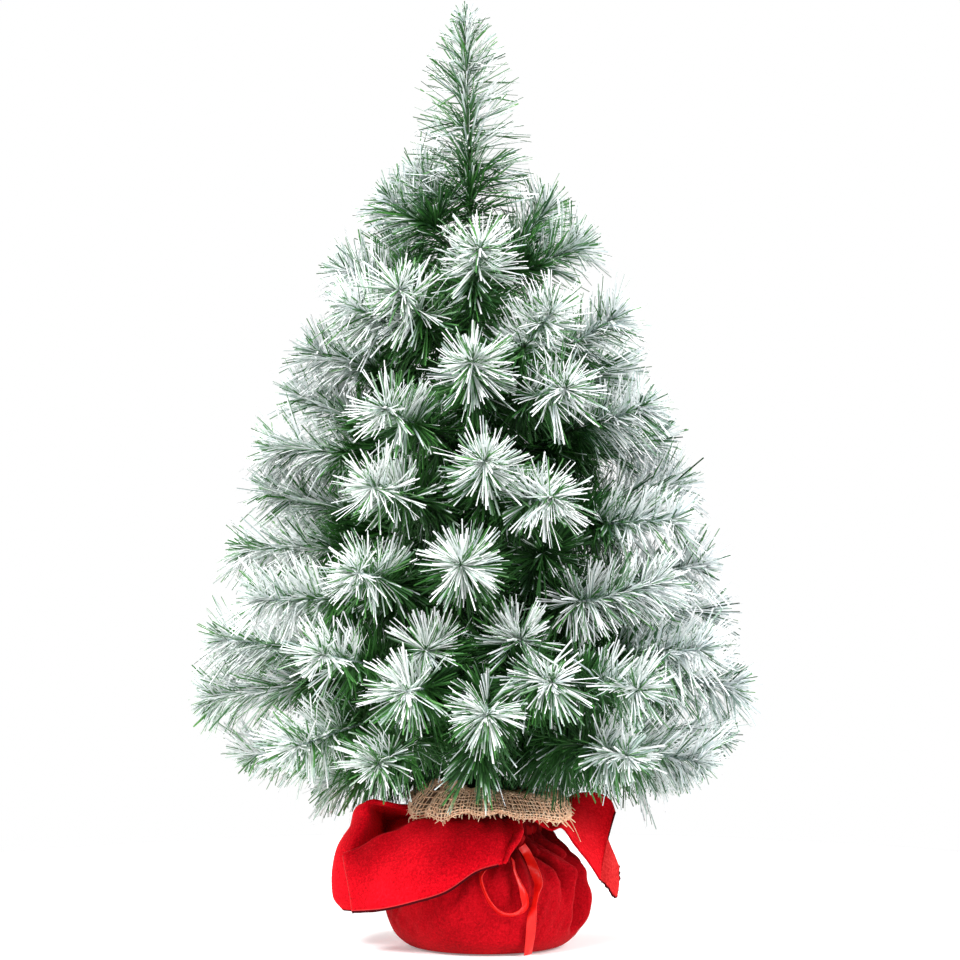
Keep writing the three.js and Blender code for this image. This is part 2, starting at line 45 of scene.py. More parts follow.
# ---------------------------------------------------------------- branch table, as in the CAD
# [azimuth deg, root height, fork point, [[tip x y z, brush start x y z] ...]] in millimetres
BRANCHES = [
    [161.0, 132.8, [-53.8, 16.7, 131.3], [[-148.6, 12.8, 119.7, -85.7, 12.3, 125.2], [-105.0, 67.3, 97.0, -66.7, 35.2, 113.3]]],
    [17.0, 136.2, [53.3, 16.2, 136.9], [[151.4, 25.7, 132.8, 87.9, 17.9, 134.3], [114.8, 52.8, 99.7, 70.4, 29.1, 117.1]]],
    [-38.5, 140.3, [44.1, -37.3, 143.3], [[87.3, -126.3, 130.7, 55.9, -70.7, 135.7], [135.3, -56.4, 121.4, 75.3, -39.3, 131.1]]],
    [103.0, 148.9, [-16.6, 61.0, 154.6], [[-8.1, 161.5, 145.0, -10.6, 97.6, 148.2], [-70.4, 151.9, 165.0, -40.3, 95.6, 159.9], [-33.5, 137.2, 112.0, -21.3, 83.0, 131.1]]],
    [57.3, 153.1, [31.9, 53.6, 159.6], [[112.4, 119.2, 158.0, 64.7, 76.6, 157.7], [59.5, 154.1, 165.0, 39.9, 93.3, 161.7], [75.3, 123.7, 118.0, 44.6, 74.3, 136.3]]],
    [141.9, 158.2, [-52.4, 38.5, 165.7], [[-126.3, 111.2, 165.0, -79.9, 67.1, 164.1], [-155.7, 55.6, 178.0, -93.8, 40.8, 171.7], [-93.7, 117.4, 122.0, -61.4, 65.4, 140.5]]],
    [-130.1, 160.9, [-43.7, -48.8, 170.7], [[-95.8, -128.9, 191.9, -60.4, -76.6, 181.1], [-112.3, -112.2, 135.5, -67.3, -68.9, 149.5]]],
    [-107.5, 167.3, [-21.0, -57.5, 174.4], [[-44.8, -158.9, 171.8, -29.5, -96.7, 171.3], [-63.1, -139.8, 126.5, -36.6, -84.7, 145.5], [-34.3, -124.1, 194.6, -24.5, -79.5, 184.7]]],
    [-53.9, 168.6, [36.3, -53.6, 178.7], [[94.1, -132.8, 171.2, 56.4, -81.2, 172.8]]],
    [180.0, 172.4, [-70.1, 0.0, 183.1], [[-166.8, 0.0, 194.3, -103.2, 0.0, 187.5], [-173.2, 0.0, 157.8, -109.8, 0.0, 166.4]]],
    [-79.9, 174.6, [7.6, -60.5, 184.4], [[2.8, -165.6, 158.2, 3.8, -102.2, 166.9], [41.7, -156.6, 176.9, 21.8, -95.8, 178.2], [23.9, -123.6, 200.6, 13.6, -81.3, 192.3]]],
    [-23.9, 175.2, [56.6, -26.2, 185.9], [[133.7, -80.1, 192.2, 81.8, -46.1, 187.5], [155.1, -49.7, 167.5, 93.5, -33.2, 173.3]]],
    [99.0, 188.2, [-12.9, 62.0, 200.1], [[2.4, 159.1, 190.0, -4.6, 95.5, 192.0], [-56.6, 146.1, 205.0, -30.5, 89.3, 200.5]]],
    [52.0, 196.8, [34.6, 48.5, 209.4], [[115.7, 99.9, 205.0, 63.9, 63.3, 204.3], [63.9, 138.3, 212.0, 41.5, 80.2, 208.3]]],
    [147.0, 203.6, [-54.6, 33.3, 216.8], [[-114.2, 106.9, 212.0, -72.6, 60.1, 211.3], [-144.1, 56.7, 222.0, -86.0, 38.5, 217.0]]],
    [-0.4, 211.5, [56.0, -0.1, 225.2], [[137.5, -34.1, 243.1, 82.2, -14.9, 232.5], [146.9, 33.8, 210.7, 85.9, 14.6, 213.9]]],
    [-135.0, 215.4, [-45.3, -41.2, 229.3], [[-74.9, -127.9, 240.9, -51.6, -72.2, 232.9], [-136.1, -73.1, 222.6, -77.5, -48.2, 222.4]]],
    [98.0, 220.4, [-12.1, 59.4, 235.0], [[-24.4, 145.6, 238.0, -16.4, 88.8, 233.8]]],
    [-93.3, 228.6, [-7.3, -58.5, 243.1], [[-12.6, -144.5, 246.1, -9.2, -87.9, 241.7]]],
    [62.0, 242.8, [21.7, 48.6, 258.4], [[85.1, 106.6, 262.0, 45.3, 66.4, 257.0], [33.3, 131.7, 268.0, 22.8, 77.5, 260.5]]],
    [177.1, 247.8, [-60.9, 2.8, 264.0], [[-136.4, 13.6, 290.1, -85.6, 7.1, 275.6], [-151.5, 0.0, 251.8, -91.2, 1.1, 253.4]]],
    [128.5, 250.4, [-37.6, 41.6, 266.2], [[-55.0, 124.5, 280.0, -39.9, 70.7, 270.5], [-116.7, 78.6, 268.0, -66.3, 50.9, 263.6]]],
    [-8.2, 257.0, [47.7, -7.7, 273.2], [[125.7, 18.3, 292.0, 73.0, 4.7, 280.3], [119.2, -56.1, 271.7, 70.2, -27.3, 268.6]]],
    [-117.8, 266.0, [-29.7, -47.7, 282.9], [[-66.3, -116.6, 292.3, -42.3, -71.3, 284.7]]],
    [-78.2, 270.1, [6.3, -51.6, 287.1], [[1.1, -127.3, 307.9, 2.3, -77.0, 295.2], [42.4, -124.3, 286.3, 20.4, -75.6, 282.9]]],
    [51.0, 294.0, [25.9, 38.8, 312.0], [[76.6, 79.5, 342.0, 43.4, 50.8, 324.6], [62.4, 108.0, 308.0, 37.1, 63.0, 305.4]]],
    [130.0, 298.0, [-36.8, 37.0, 316.2], [[-61.7, 96.8, 348.0, -42.8, 57.2, 329.6], [-101.8, 81.1, 312.0, -60.0, 50.3, 309.4]]],
    [-0.5, 300.4, [41.8, 0.1, 318.6], [[102.3, -35.7, 343.6, 60.3, -15.3, 328.0], [111.9, 36.4, 322.5, 64.5, 15.6, 316.1]]],
    [176.4, 301.0, [-54.6, 2.9, 319.7], [[-115.8, 13.8, 349.9, -74.2, 7.2, 332.3], [-133.6, 0.0, 317.6, -81.5, 1.2, 313.8]]],
    [88.0, 303.6, [-3.9, 47.9, 322.2], [[4.9, 104.1, 362.0, -0.5, 64.3, 340.0], [-9.6, 126.1, 312.0, -6.5, 74.0, 311.8]]],
    [-117.9, 306.1, [-27.7, -42.4, 325.0], [[-59.5, -101.9, 340.2, -38.7, -62.8, 329.2]]],
    [-89.6, 329.4, [-5.5, -42.8, 349.8], [[-5.5, -101.0, 369.3, -5.6, -62.7, 356.2]]],
    [-58.1, 334.9, [16.9, -36.5, 355.7], [[42.9, -79.0, 400.2, 23.8, -48.2, 375.2], [51.7, -93.5, 351.9, 28.7, -56.0, 348.4]]],
    [2.4, 341.0, [33.6, 2.1, 361.8], [[83.1, -27.9, 398.6, 47.4, -10.8, 376.7], [87.9, 38.3, 368.1, 50.9, 17.4, 360.0]]],
    [163.4, 341.4, [-44.4, 11.2, 363.4], [[-85.9, 51.9, 394.8, -55.9, 26.7, 375.6], [-106.1, 0.0, 378.3, -65.5, 4.6, 366.5]]],
    [84.0, 356.9, [-2.8, 34.9, 377.9], [[44.4, 75.9, 404.0, 16.2, 46.0, 386.5], [-41.9, 87.3, 398.0, -19.8, 50.9, 383.1]]],
    [-133.2, 364.7, [-31.7, -26.8, 386.4], [[-51.8, -74.0, 414.6, -36.6, -43.2, 396.9], [-81.6, -52.1, 404.8, -50.0, -33.9, 391.3]]],
    [160.0, 391.7, [-35.8, 9.6, 410.8], [[-87.6, 0.0, 430.7, -53.6, 4.0, 416.1], [-58.7, 42.9, 448.6, -39.8, 21.2, 426.1]]],
    [85.0, 392.0, [-4.1, 31.4, 411.2], [[-1.1, 71.9, 440.0, -3.3, 44.3, 422.3]]],
    [-85.7, 392.0, [-4.5, -31.5, 411.2], [[-1.9, -71.9, 440.0, -3.8, -44.3, 422.3]]],
    [8.7, 411.4, [19.9, 3.7, 430.2], [[42.5, 15.8, 472.3, 22.7, 7.5, 447.9], [62.0, 0.0, 445.4, 34.8, 1.5, 433.7]]],
    [173.6, 438.3, [-28.7, 2.0, 456.4], [[-42.4, 7.8, 494.1, -28.0, 3.4, 472.0], [-60.1, 0.0, 475.4, -39.4, 0.8, 462.7]]],
]
# half-width of the needles' outline against height, in millimetres
OUTLINE_Z = [96, 105, 115, 127, 140, 163, 184, 216, 238, 263, 296, 322, 347, 373, 398, 424, 450, 475, 491, 507, 537, 558, 574, 600]
OUTLINE_R = [124, 146, 157, 168, 177, 183, 178, 172, 165, 157, 147, 140, 132, 122, 110, 104, 92, 68, 53, 42, 35, 30, 20, 6]


# ---------------------------------------------------------------- small helpers
def rng(*key):
    return np.random.default_rng([int(k) for k in key])


def unit(v):
    return v / np.maximum(np.linalg.norm(v, axis=-1, keepdims=True), 1e-12)


def smooth(a, b, x):
    t = np.clip((x - a) / (b - a), 0, 1)
    return t * t * (3 - 2 * t)


def new_mesh(name, verts, faces, mats, face_mat=None, uv=None, uv_name="OFBake", shade=True):
    """One mesh object from arrays: verts (n, 3) in millimetres, faces a list of (m, k) index arrays, uv a matching list of (m, k, 2)."""
    me = bpy.data.meshes.new(name)
    verts = np.asarray(verts, np.float64) * MM
    me.vertices.add(len(verts))
    me.vertices.foreach_set("co", verts.astype(np.float32).ravel())
    loops = np.concatenate([f.ravel() for f in faces]).astype(np.int32)
    sizes = np.concatenate([np.full(len(f), f.shape[1]) for f in faces]).astype(np.int32)
    me.loops.add(len(loops))
    me.loops.foreach_set("vertex_index", loops)
    me.polygons.add(len(sizes))
    me.polygons.foreach_set("loop_start", np.concatenate([[0], np.cumsum(sizes)[:-1]]).astype(np.int32))
    me.update(calc_edges=True)
    for m in mats:
        me.materials.append(m)
    if face_mat is not None:
        me.polygons.foreach_set("material_index", np.asarray(face_mat, np.int32))
    me.polygons.foreach_set("use_smooth", np.full(len(sizes), bool(shade)))
    if uv is not None:
        layer = me.uv_layers.new(name=uv_name)
        layer.data.foreach_set("uv", np.concatenate([u.reshape(-1, 2) for u in uv]).astype(np.float32).ravel())
    me.validate()
    me.update()
    o = bpy.data.objects.new(name, me)
    bpy.context.scene.collection.objects.link(o)
    return o


def catmull(points, per=12):
    """A smooth line through points, even in parameter."""
    p = np.asarray(points, float)
    p = np.vstack([2 * p[0] - p[1], p, 2 * p[-1] - p[-2]])
    out = []
    for i in range(1, len(p) - 2):
        t = np.linspace(0, 1, per, endpoint=False)[:, None]
        a, b, c, d = p[i - 1], p[i], p[i + 1], p[i + 2]
        out.append(0.5 * (2 * b + (c - a) * t + (2 * a - 5 * b + 4 * c - d) * t**2 + (3 * b - a - 3 * c + d) * t**3))
    out.append(p[-2][None])
    return np.vstack(out)


def resample(line, n):
    line = np.asarray(line, float)
    s = np.concatenate([[0], np.cumsum(np.linalg.norm(np.diff(line, axis=0), axis=1))])
    at = np.linspace(0, s[-1], n)
    return np.stack([np.interp(at, s, line[:, k]) for k in range(line.shape[1])], 1)


def frames(line, up=(0, 0, 1)):
    """Tangents and a steady side vector along a line."""
    t = unit(np.gradient(line, axis=0))
    side = np.zeros_like(t)
    ref = np.asarray(up, float)
    s = np.cross(t[0], ref)
    if np.linalg.norm(s) < 0.2:
        s = np.cross(t[0], np.array([1.0, 0, 0]))
    side[0] = unit(s)
    for i in range(1, len(t)):
        s = side[i - 1] - t[i] * np.dot(side[i - 1], t[i])
        side[i] = unit(s)
    return t, side, np.cross(t, side)


def tube_arrays(line, rx, ry, sides=6, spin=0.0, up=(0, 0, 1)):
    """A closed tube of oval section along a line; rx and ry may vary along it, spin is turns along the length."""
    n = len(line)
    t, a, b = frames(line, up)
    rx = np.broadcast_to(np.asarray(rx, float), n)
    ry = np.broadcast_to(np.asarray(ry, float), n)
    phi = 2 * np.pi * spin * np.linspace(0, 1, n)
    ang = np.arange(sides) * 2 * np.pi / sides
    ex = a * np.cos(phi)[:, None] + b * np.sin(phi)[:, None]
    ey = -a * np.sin(phi)[:, None] + b * np.cos(phi)[:, None]
    v = line[:, None] + (rx[:, None] * np.cos(ang))[..., None] * ex[:, None] + (ry[:, None] * np.sin(ang))[..., None] * ey[:, None]
    i = np.arange(n - 1)[:, None] * sides
    k = np.arange(sides)[None]
    k2 = (k + 1) % sides
    quads = np.stack([i + k, i + k2, i + sides + k2, i + sides + k], -1).reshape(-1, 4)
    caps = np.stack([np.arange(sides)[::-1], (n - 1) * sides + np.arange(sides)])
    return v.reshape(-1, 3), quads, caps


def join_arrays(parts):
    """Joins (verts, quads, caps) tubes with the same number of sides."""
    vs, qs, cs, off = [], [], [], 0
    for v, q, c in parts:
        vs.append(v)
        qs.append(q + off)
        cs.append(c + off)
        off += len(v)
    return np.concatenate(vs), np.concatenate(qs), np.concatenate(cs)


# ---------------------------------------------------------------- materials
def material(name):
    m = bpy.data.materials.new(name)
    m.use_nodes = True
    nt = m.node_tree
    b = nt.nodes["Principled BSDF"]
    return m, nt, b


def node(nt, kind, **values):
    n = nt.nodes.new(kind)
    for k, v in values.items():
        if k.startswith("_"):
            setattr(n, k[1:], v)
        else:
            n.inputs[k.replace("__", " ")].default_value = v
    return n


def ramp(nt, stops, interpolation="LINEAR"):
    r = nt.nodes.new("ShaderNodeValToRGB")
    r.color_ramp.interpolation = interpolation
    e = r.color_ramp.elements
    while len(e) > 1:
        e.remove(e[-1])
    e[0].position, e[0].color = stops[0][0], (*stops[0][1], 1)
    for p, c in stops[1:]:
        x = e.new(p)
        x.color = (*c, 1)
    return r


def mix(nt, a, b, fac, mode="MIX"):
    m = nt.nodes.new("ShaderNodeMix")
    m.data_type = "RGBA"
    m.blend_type = mode
    for sock, value in ((m.inputs[0], fac), (m.inputs[6], a), (m.inputs[7], b)):
        if hasattr(value, "is_linked") or hasattr(value, "node"):
            nt.links.new(value, sock)
        elif isinstance(value, (int, float)):
            sock.default_value = value
        else:
            sock.default_value = (*value, 1)
    return m.outputs[2]


def lin(r, g, b):
    return tuple((c / 255 / 12.92) if c / 255 <= 0.04045 else ((c / 255 + 0.055) / 1.055) ** 2.4 for c in (r, g, b))


def bump(nt, b, height, strength, distance):
    n = nt.nodes.new("ShaderNodeBump")
    n.inputs["Strength"].default_value = strength
    n.inputs["Distance"].default_value = distance
    nt.links.new(height, n.inputs["Height"])
    nt.links.new(n.outputs["Normal"], b.inputs["Normal"])


def coords(nt, scale=(1, 1, 1)):
    t = nt.nodes.new("ShaderNodeTexCoord")
    m = nt.nodes.new("ShaderNodeMapping")
    m.inputs["Scale"].default_value = scale
    nt.links.new(t.outputs["Object"], m.inputs["Vector"])
    return m.outputs["Vector"]


def noise(nt, vec, scale, detail=3.0, rough=0.6):
    n = nt.nodes.new("ShaderNodeTexNoise")
    n.inputs["Scale"].default_value = scale
    n.inputs["Detail"].default_value = detail
    n.inputs["Roughness"].default_value = rough
    nt.links.new(vec, n.inputs["Vector"])
    return n.outputs["Fac"]


def needle_material():
    """Frost is painted by the needle's own map: u is how frosted a point is, v the needle's tint. The tint mixes a
    darker, bluish set of colours with a lighter, yellower set; besides each needle's own tone, the two sets are partly
    painted shade and painted highlight.
    """
    m, nt, b = material("frosted_pvc_needles")
    uv = nt.nodes.new("ShaderNodeUVMap")
    uv.uv_map = "OFBake"
    sep = nt.nodes.new("ShaderNodeSeparateXYZ")
    nt.links.new(uv.outputs["UV"], sep.inputs[0])
    dark = ramp(nt, [(0.0, (0.003, 0.020, 0.007)), (0.22, (0.008, 0.052, 0.018)), (0.42, (0.045, 0.130, 0.070)), (0.60, (0.38, 0.47, 0.48)), (0.8, (0.72, 0.78, 0.81)), (1.0, (0.86, 0.89, 0.91))])
    light = ramp(nt, [(0.0, (0.022, 0.112, 0.014)), (0.22, (0.060, 0.255, 0.036)), (0.42, (0.150, 0.345, 0.110)), (0.60, (0.52, 0.64, 0.54)), (0.8, (0.80, 0.845, 0.83)), (1.0, (0.895, 0.91, 0.905))])
    nt.links.new(sep.outputs[0], dark.inputs[0])
    nt.links.new(sep.outputs[0], light.inputs[0])
    c = mix(nt, dark.outputs[0], light.outputs[0], sep.outputs[1])
    nt.links.new(c, b.inputs["Base Color"])
    b.inputs["Roughness"].default_value = 0.62
    b.inputs["Specular IOR Level"].default_value = 0.35
    return m


def wire_material(name="twisted_wire", frost=False):
    m, nt, b = material(name)
    v = coords(nt)
    stops = [(0.3, lin(30, 54, 34)), (0.58, lin(62, 70, 54)), (0.8, lin(142, 108, 98))]
    if frost:
        stops = [(0.3, lin(92, 116, 104)), (0.5, lin(150, 170, 168)), (0.7, lin(206, 218, 222))]
    c = ramp(nt, stops)
    nt.links.new(noise(nt, v, 260), c.inputs[0])
    nt.links.new(c.outputs[0], b.inputs["Base Color"])
    b.inputs["Metallic"].default_value = 0.0 if frost else 0.25
    b.inputs["Roughness"].default_value = 0.5
    return m


def tape_material():
    m, nt, b = material("green_trunk_tape")
    v = coords(nt)
    c = ramp(nt, [(0.25, lin(14, 44, 22)), (0.6, lin(26, 78, 38)), (0.9, lin(64, 118, 66))])
    nt.links.new(noise(nt, v, 120, 4), c.inputs[0])
    nt.links.new(c.outputs[0], b.inputs["Base Color"])
    b.inputs["Roughness"].default_value = 0.55
    bump(nt, b, noise(nt, v, 900, 2), 0.3, 0.0004)
    return m


def felt_material(name="red_felt", back=False, k=1.0, neck_shade=False, colours=None):
    m, nt, b = material(name)
    v = coords(nt)
    lo, mid, hi = ((lin(146, 0, 10), lin(200, 2, 20), lin(240, 18, 36)) if not back else (lin(186, 2, 14), lin(220, 8, 24), lin(246, 30, 42)))
    if colours:
        lo, mid, hi = colours
    lo, mid, hi = (tuple(k * x for x in y) for y in (lo, mid, hi))
    c = ramp(nt, [(0.38, lo), (0.50, mid), (0.64, hi)])
    a = noise(nt, v, 700, 6, 0.85)
    big = noise(nt, v, 34, 2, 0.5)
    add = nt.nodes.new("ShaderNodeMath")
    add.operation = "MULTIPLY_ADD"
    nt.links.new(big, add.inputs[0])
    add.inputs[1].default_value = 0.18
    sub = nt.nodes.new("ShaderNodeMath")
    sub.operation = "MULTIPLY"
    nt.links.new(a, sub.inputs[0])
    sub.inputs[1].default_value = 0.82
    nt.links.new(sub.outputs[0], add.inputs[2])
    nt.links.new(add.outputs[0], c.inputs[0])
    colour = c.outputs[0]
    if neck_shade:
        # painted shade: the colour darkens towards the gathered neck, from 44 mm up to about a third by 72 mm
        at = nt.nodes.new("ShaderNodeSeparateXYZ")
        nt.links.new(v, at.inputs[0])
        drawn = ramp(nt, [(0.44, (1, 1, 1)), (0.60, (0.74, 0.72, 0.74)), (0.72, (0.36, 0.34, 0.36))])
        up = nt.nodes.new("ShaderNodeMath")
        up.operation = "MULTIPLY"
        up.inputs[1].default_value = 10.0
        nt.links.new(at.outputs[2], up.inputs[0])
        nt.links.new(up.outputs[0], drawn.inputs[0])
        colour = mix(nt, colour, drawn.outputs[0], 1.0, "MULTIPLY")
    nt.links.new(colour, b.inputs["Base Color"])
    b.inputs["Roughness"].default_value = 0.95
    b.inputs["Specular IOR Level"].default_value = 0.08
    b.inputs["Sheen Weight"].default_value = 0.08
    b.inputs["Sheen Roughness"].default_value = 0.4
    b.inputs["Sheen Tint"].default_value = (*lin(255, 120, 110), 1)
    fine = noise(nt, v, 1500, 4, 0.8)
    bump(nt, b, fine, 0.35, 0.0005)
    return m


def satin_material():
    m, nt, b = material("satin_ribbon")
    v = coords(nt)
    c = ramp(nt, [(0.3, lin(192, 6, 8)), (0.7, lin(226, 26, 15))])
    nt.links.new(noise(nt, v, 160, 2), c.inputs[0])
    nt.links.new(c.outputs[0], b.inputs["Base Color"])
    b.inputs["Roughness"].default_value = 0.30
    b.inputs["Specular IOR Level"].default_value = 0.30
    b.inputs["Anisotropic"].default_value = 0.5
    b.inputs["Sheen Weight"].default_value = 0.0
    bump(nt, b, noise(nt, coords(nt, (1, 1, 6)), 1800, 2), 0.12, 0.0003)
    return m


def jute_material(name="jute_thread", k=1.0):
    m, nt, b = material(name)
    v = coords(nt)
    c = ramp(nt, [(0.25, tuple(k * x for x in lin(204, 146, 110))), (0.5, tuple(k * x for x in lin(252, 208, 172))), (0.75, tuple(k * x for x in lin(255, 243, 224)))])
    nt.links.new(noise(nt, v, 420, 5, 0.8), c.inputs[0])
    nt.links.new(c.outputs[0], b.inputs["Base Color"])
    b.inputs["Roughness"].default_value = 0.95
    b.inputs["Specular IOR Level"].default_value = 0.15
    bump(nt, b, noise(nt, v, 2600, 3), 0.5, 0.0003)
    return m


def cement_material():
    m, nt, b = material("cast_cement")
    v = coords(nt)
    c = ramp(nt, [(0.3, lin(140, 136, 128)), (0.7, lin(178, 174, 166))])
    nt.links.new(noise(nt, v, 220, 8, 0.75), c.inputs[0])
    nt.links.new(c.outputs[0], b.inputs["Base Color"])
    b.inputs["Roughness"].default_value = 0.95
    bump(nt, b, noise(nt, v, 500, 6, 0.8), 0.6, 0.0008)
    return m


def plastic_material(name, colour, rough=0.5):
    m, nt, b = material(name)
    v = coords(nt)
    c = ramp(nt, [(0.35, tuple(0.85 * x for x in colour)), (0.65, colour)])
    nt.links.new(noise(nt, v, 90, 3), c.inputs[0])
    nt.links.new(c.outputs[0], b.inputs["Base Color"])
    b.inputs["Roughness"].default_value = rough
    bump(nt, b, noise(nt, v, 1200, 2), 0.12, 0.0002)
    return m


def steel_material():
    m, nt, b = material("drawn_steel_wire")
    v = coords(nt, (1, 1, 0.05))
    c = ramp(nt, [(0.3, (0.30, 0.31, 0.32)), (0.7, (0.50, 0.51, 0.52))])
    nt.links.new(noise(nt, v, 800, 2), c.inputs[0])
    nt.links.new(c.outputs[0], b.inputs["Base Color"])
    b.inputs["Metallic"].default_value = 0.95
    b.inputs["Roughness"].default_value = 0.38
    return m


NEEDLES, WIRE, TAPE = needle_material(), wire_material(), tape_material()
FELT, FELT_BACK, SATIN, JUTE = felt_material(), felt_material("red_felt_reverse", True), satin_material(), jute_material()
# the bag's felt is a shaded copy of the flaps' felt: 0.6 of its colour as painted shade, darker still towards the neck
FELT_BAG_SHADED = felt_material("red_felt_painted_shade", False, 0.60, neck_shade=True)
# a lighter, pinker copy of the felt for the turned strip: partly the cloth's reverse side and partly painted sheen
FELT_TURN = felt_material("red_felt_reverse_and_sheen", True, 1.0, colours=(lin(172, 20, 24), lin(198, 34, 36), lin(222, 58, 56)))
WIRE_FROST = wire_material("frosted_wire", True)
# painted shade: the jute at about a quarter of its colour, for the inner ply
JUTE_SHADE = jute_material("jute_ply_painted_shade", 0.26)
CEMENT, STEEL = cement_material(), steel_material()
TUB, SOCKET = plastic_material("black_tub_plastic", (0.03, 0.03, 0.032)), plastic_material("green_socket_plastic", (0.02, 0.09, 0.035))
HEM = plastic_material("overlock_thread", lin(66, 4, 10), 0.85)
# painted shade: a darker copy of the satin for the neck band and the knot, which lie in the fold
SATIN_SHADE = plastic_material("satin_painted_shade", lin(150, 4, 10), 0.6)
STITCH = plastic_material("pale_overlock_thread", lin(190, 50, 52), 0.85)

for m in (HEM, STITCH, SATIN_SHADE):
    m.node_tree.nodes["Principled BSDF"].inputs["Specular IOR Level"].default_value = 0.05


# ---------------------------------------------------------------- needles
def needle_arrays(P, D, W, bend, L, w, frost, tint, gain):
    """Flat-cut strips with a low ridge: three rings of three points, closed at both ends.
    frost is (N, 3) at root, middle and tip; gain lowers the underside's frost."""
    N = len(P)
    U = unit(np.cross(D, W))
    t = np.array([0.0, 0.5, 1.0])
    wf = np.array([0.62, 1.0, 0.80])
    centre = P[:, None] + D[:, None] * (L[:, None] * t)[..., None] + bend[:, None] * (t**2)[None, :, None]
    half = 0.5 * w[:, None] * wf
    rise = 0.30 * w[:, None] * wf
    ring = np.stack([
        centre + W[:, None] * half[..., None],
        centre - W[:, None] * half[..., None],
        centre + U[:, None] * rise[..., None],
    ], 2)  # N, 3 rings, 3 corners
    verts = ring.reshape(-1, 3)
    base = (np.arange(N) * 9)[:, None]
    quads, uvq = [], []
    f = frost
    for r in (0, 1):
        for k in range(3):
            k2 = (k + 1) % 3
            quads.append(np.concatenate([base + r * 3 + k, base + r * 3 + 3 + k, base + r * 3 + 3 + k2, base + r * 3 + k2], 1))
            g = gain if k == 0 else 1.0
            u = np.stack([f[:, r], f[:, r + 1], f[:, r + 1], f[:, r]], 1) * (g if np.isscalar(g) else g[:, None])
            uvq.append(np.stack([u, np.repeat(tint[:, None], 4, 1)], -1))
    tris = [np.concatenate([base + 0, base + 1, base + 2], 1), np.concatenate([base + 6, base + 8, base + 7], 1)]
    uvt = [np.stack([np.repeat(f[:, r:r + 1], 3, 1), np.repeat(tint[:, None], 3, 1)], -1) for r in (0, 2)]
    return verts, np.concatenate(quads), np.concatenate(uvq), np.concatenate(tris), np.concatenate(uvt)


def outline(z):
    return np.interp(z, OUTLINE_Z, OUTLINE_R)


def needles_along(line, density, seed, length=(27, 33), angle=((0, 64), (0.6, 57), (0.9, 46), (1, 34)), fan=True, skip=0.0, down=False, white=0.0, sprig=False, loose=9.0):
    """Needle settings along one wire: clumps of one to four strips spiralling round it."""
    g = rng(7, seed)
    seg = np.linalg.norm(np.diff(line, axis=0), axis=1)
    s = np.concatenate([[0], np.cumsum(seg)])
    total = s[-1]
    n = int(total * density / 2.9)
    at = (np.arange(n) + g.uniform(-0.5, 0.5, n)) / n * (1 - skip) + skip
    size = g.choice([1, 2, 3, 4, 5, 6], n, p=[0.22, 0.24, 0.20, 0.16, 0.11, 0.07])
    phi0 = np.arange(n) * 2.399963 + g.uniform(-1.0, 1.0, n)
    idx = np.repeat(np.arange(n), size)
    u = np.clip(at[idx] + g.normal(0, 0.7, len(idx)) / total, 0, 0.999)
    phi = phi0[idx] + g.normal(0, 0.10, len(idx))
    th = np.interp(u, [a for a, _ in angle], [b for _, b in angle]) + g.normal(0, loose, n)[idx] + g.normal(0, 2.6, len(idx))
    L = g.uniform(*length, n)[idx] + g.normal(0, 2.2, len(idx))
    hug = (g.random(n) < 0.20)[idx] & (not down)
    th = np.where(hug, g.uniform(14, 36, n)[idx], th)
    L = np.where(hug, L * 0.55, L)
    if not down:
        gap = np.zeros(len(idx), bool)
        for _ in range(3):
            c, wd = g.uniform(0, 2 * np.pi), g.uniform(0.22, 0.48)
            gap |= (np.abs((phi - c + np.pi) % (2 * np.pi) - np.pi) < wd) & (u > g.uniform(0.2, 0.8)) & (g.random(n)[idx] < 0.8)
        keep = ~gap
        idx, u, phi, th, L = idx[keep], u[keep], phi[keep], th[keep], L[keep]
    if down:
        phi = -np.pi / 2 + g.normal(0, 0.55, n)[idx] + g.normal(0, 0.08, len(idx))
    if fan:
        m = int(0.15 * density * 12) + 12
        phi_f = np.repeat(g.uniform(0, 2 * np.pi, m), 3) + g.normal(0, 0.12, m * 3)
        u = np.concatenate([u, 1 - g.uniform(0, 5.5, m * 3) / total])
        phi = np.concatenate([phi, phi_f])
        th = np.concatenate([th, np.repeat(g.uniform(10, 78, m), 3) + g.normal(0, 3, m * 3)])
        L = np.concatenate([L, np.repeat(g.uniform(length[0] * 0.62, length[0] * 0.98, m), 3)])
    pos = np.stack([np.interp(u * total, s, line[:, k]) for k in range(3)], 1)
    t, a, b = frames(line)
    ti = unit(np.stack([np.interp(u * total, s, t[:, k]) for k in range(3)], 1))
    ai = np.stack([np.interp(u * total, s, a[:, k]) for k in range(3)], 1)
    ai = unit(ai - ti * np.sum(ai * ti, 1, keepdims=True))
    bi = np.cross(ti, ai)
    th = np.radians(th)
    if down:
        low = unit(np.array([0.0, 0, -1.0]) - ti * -ti[:, 2:3])
        flat = np.cross(ti, low)
        out = low * np.cos(phi + np.pi / 2)[:, None] + flat * np.sin(phi + np.pi / 2)[:, None]
    else:
        out = ai * np.cos(phi)[:, None] + bi * np.sin(phi)[:, None]
    D = unit(ti * np.cos(th)[:, None] + out * np.sin(th)[:, None])
    return pos, D, L, u, g


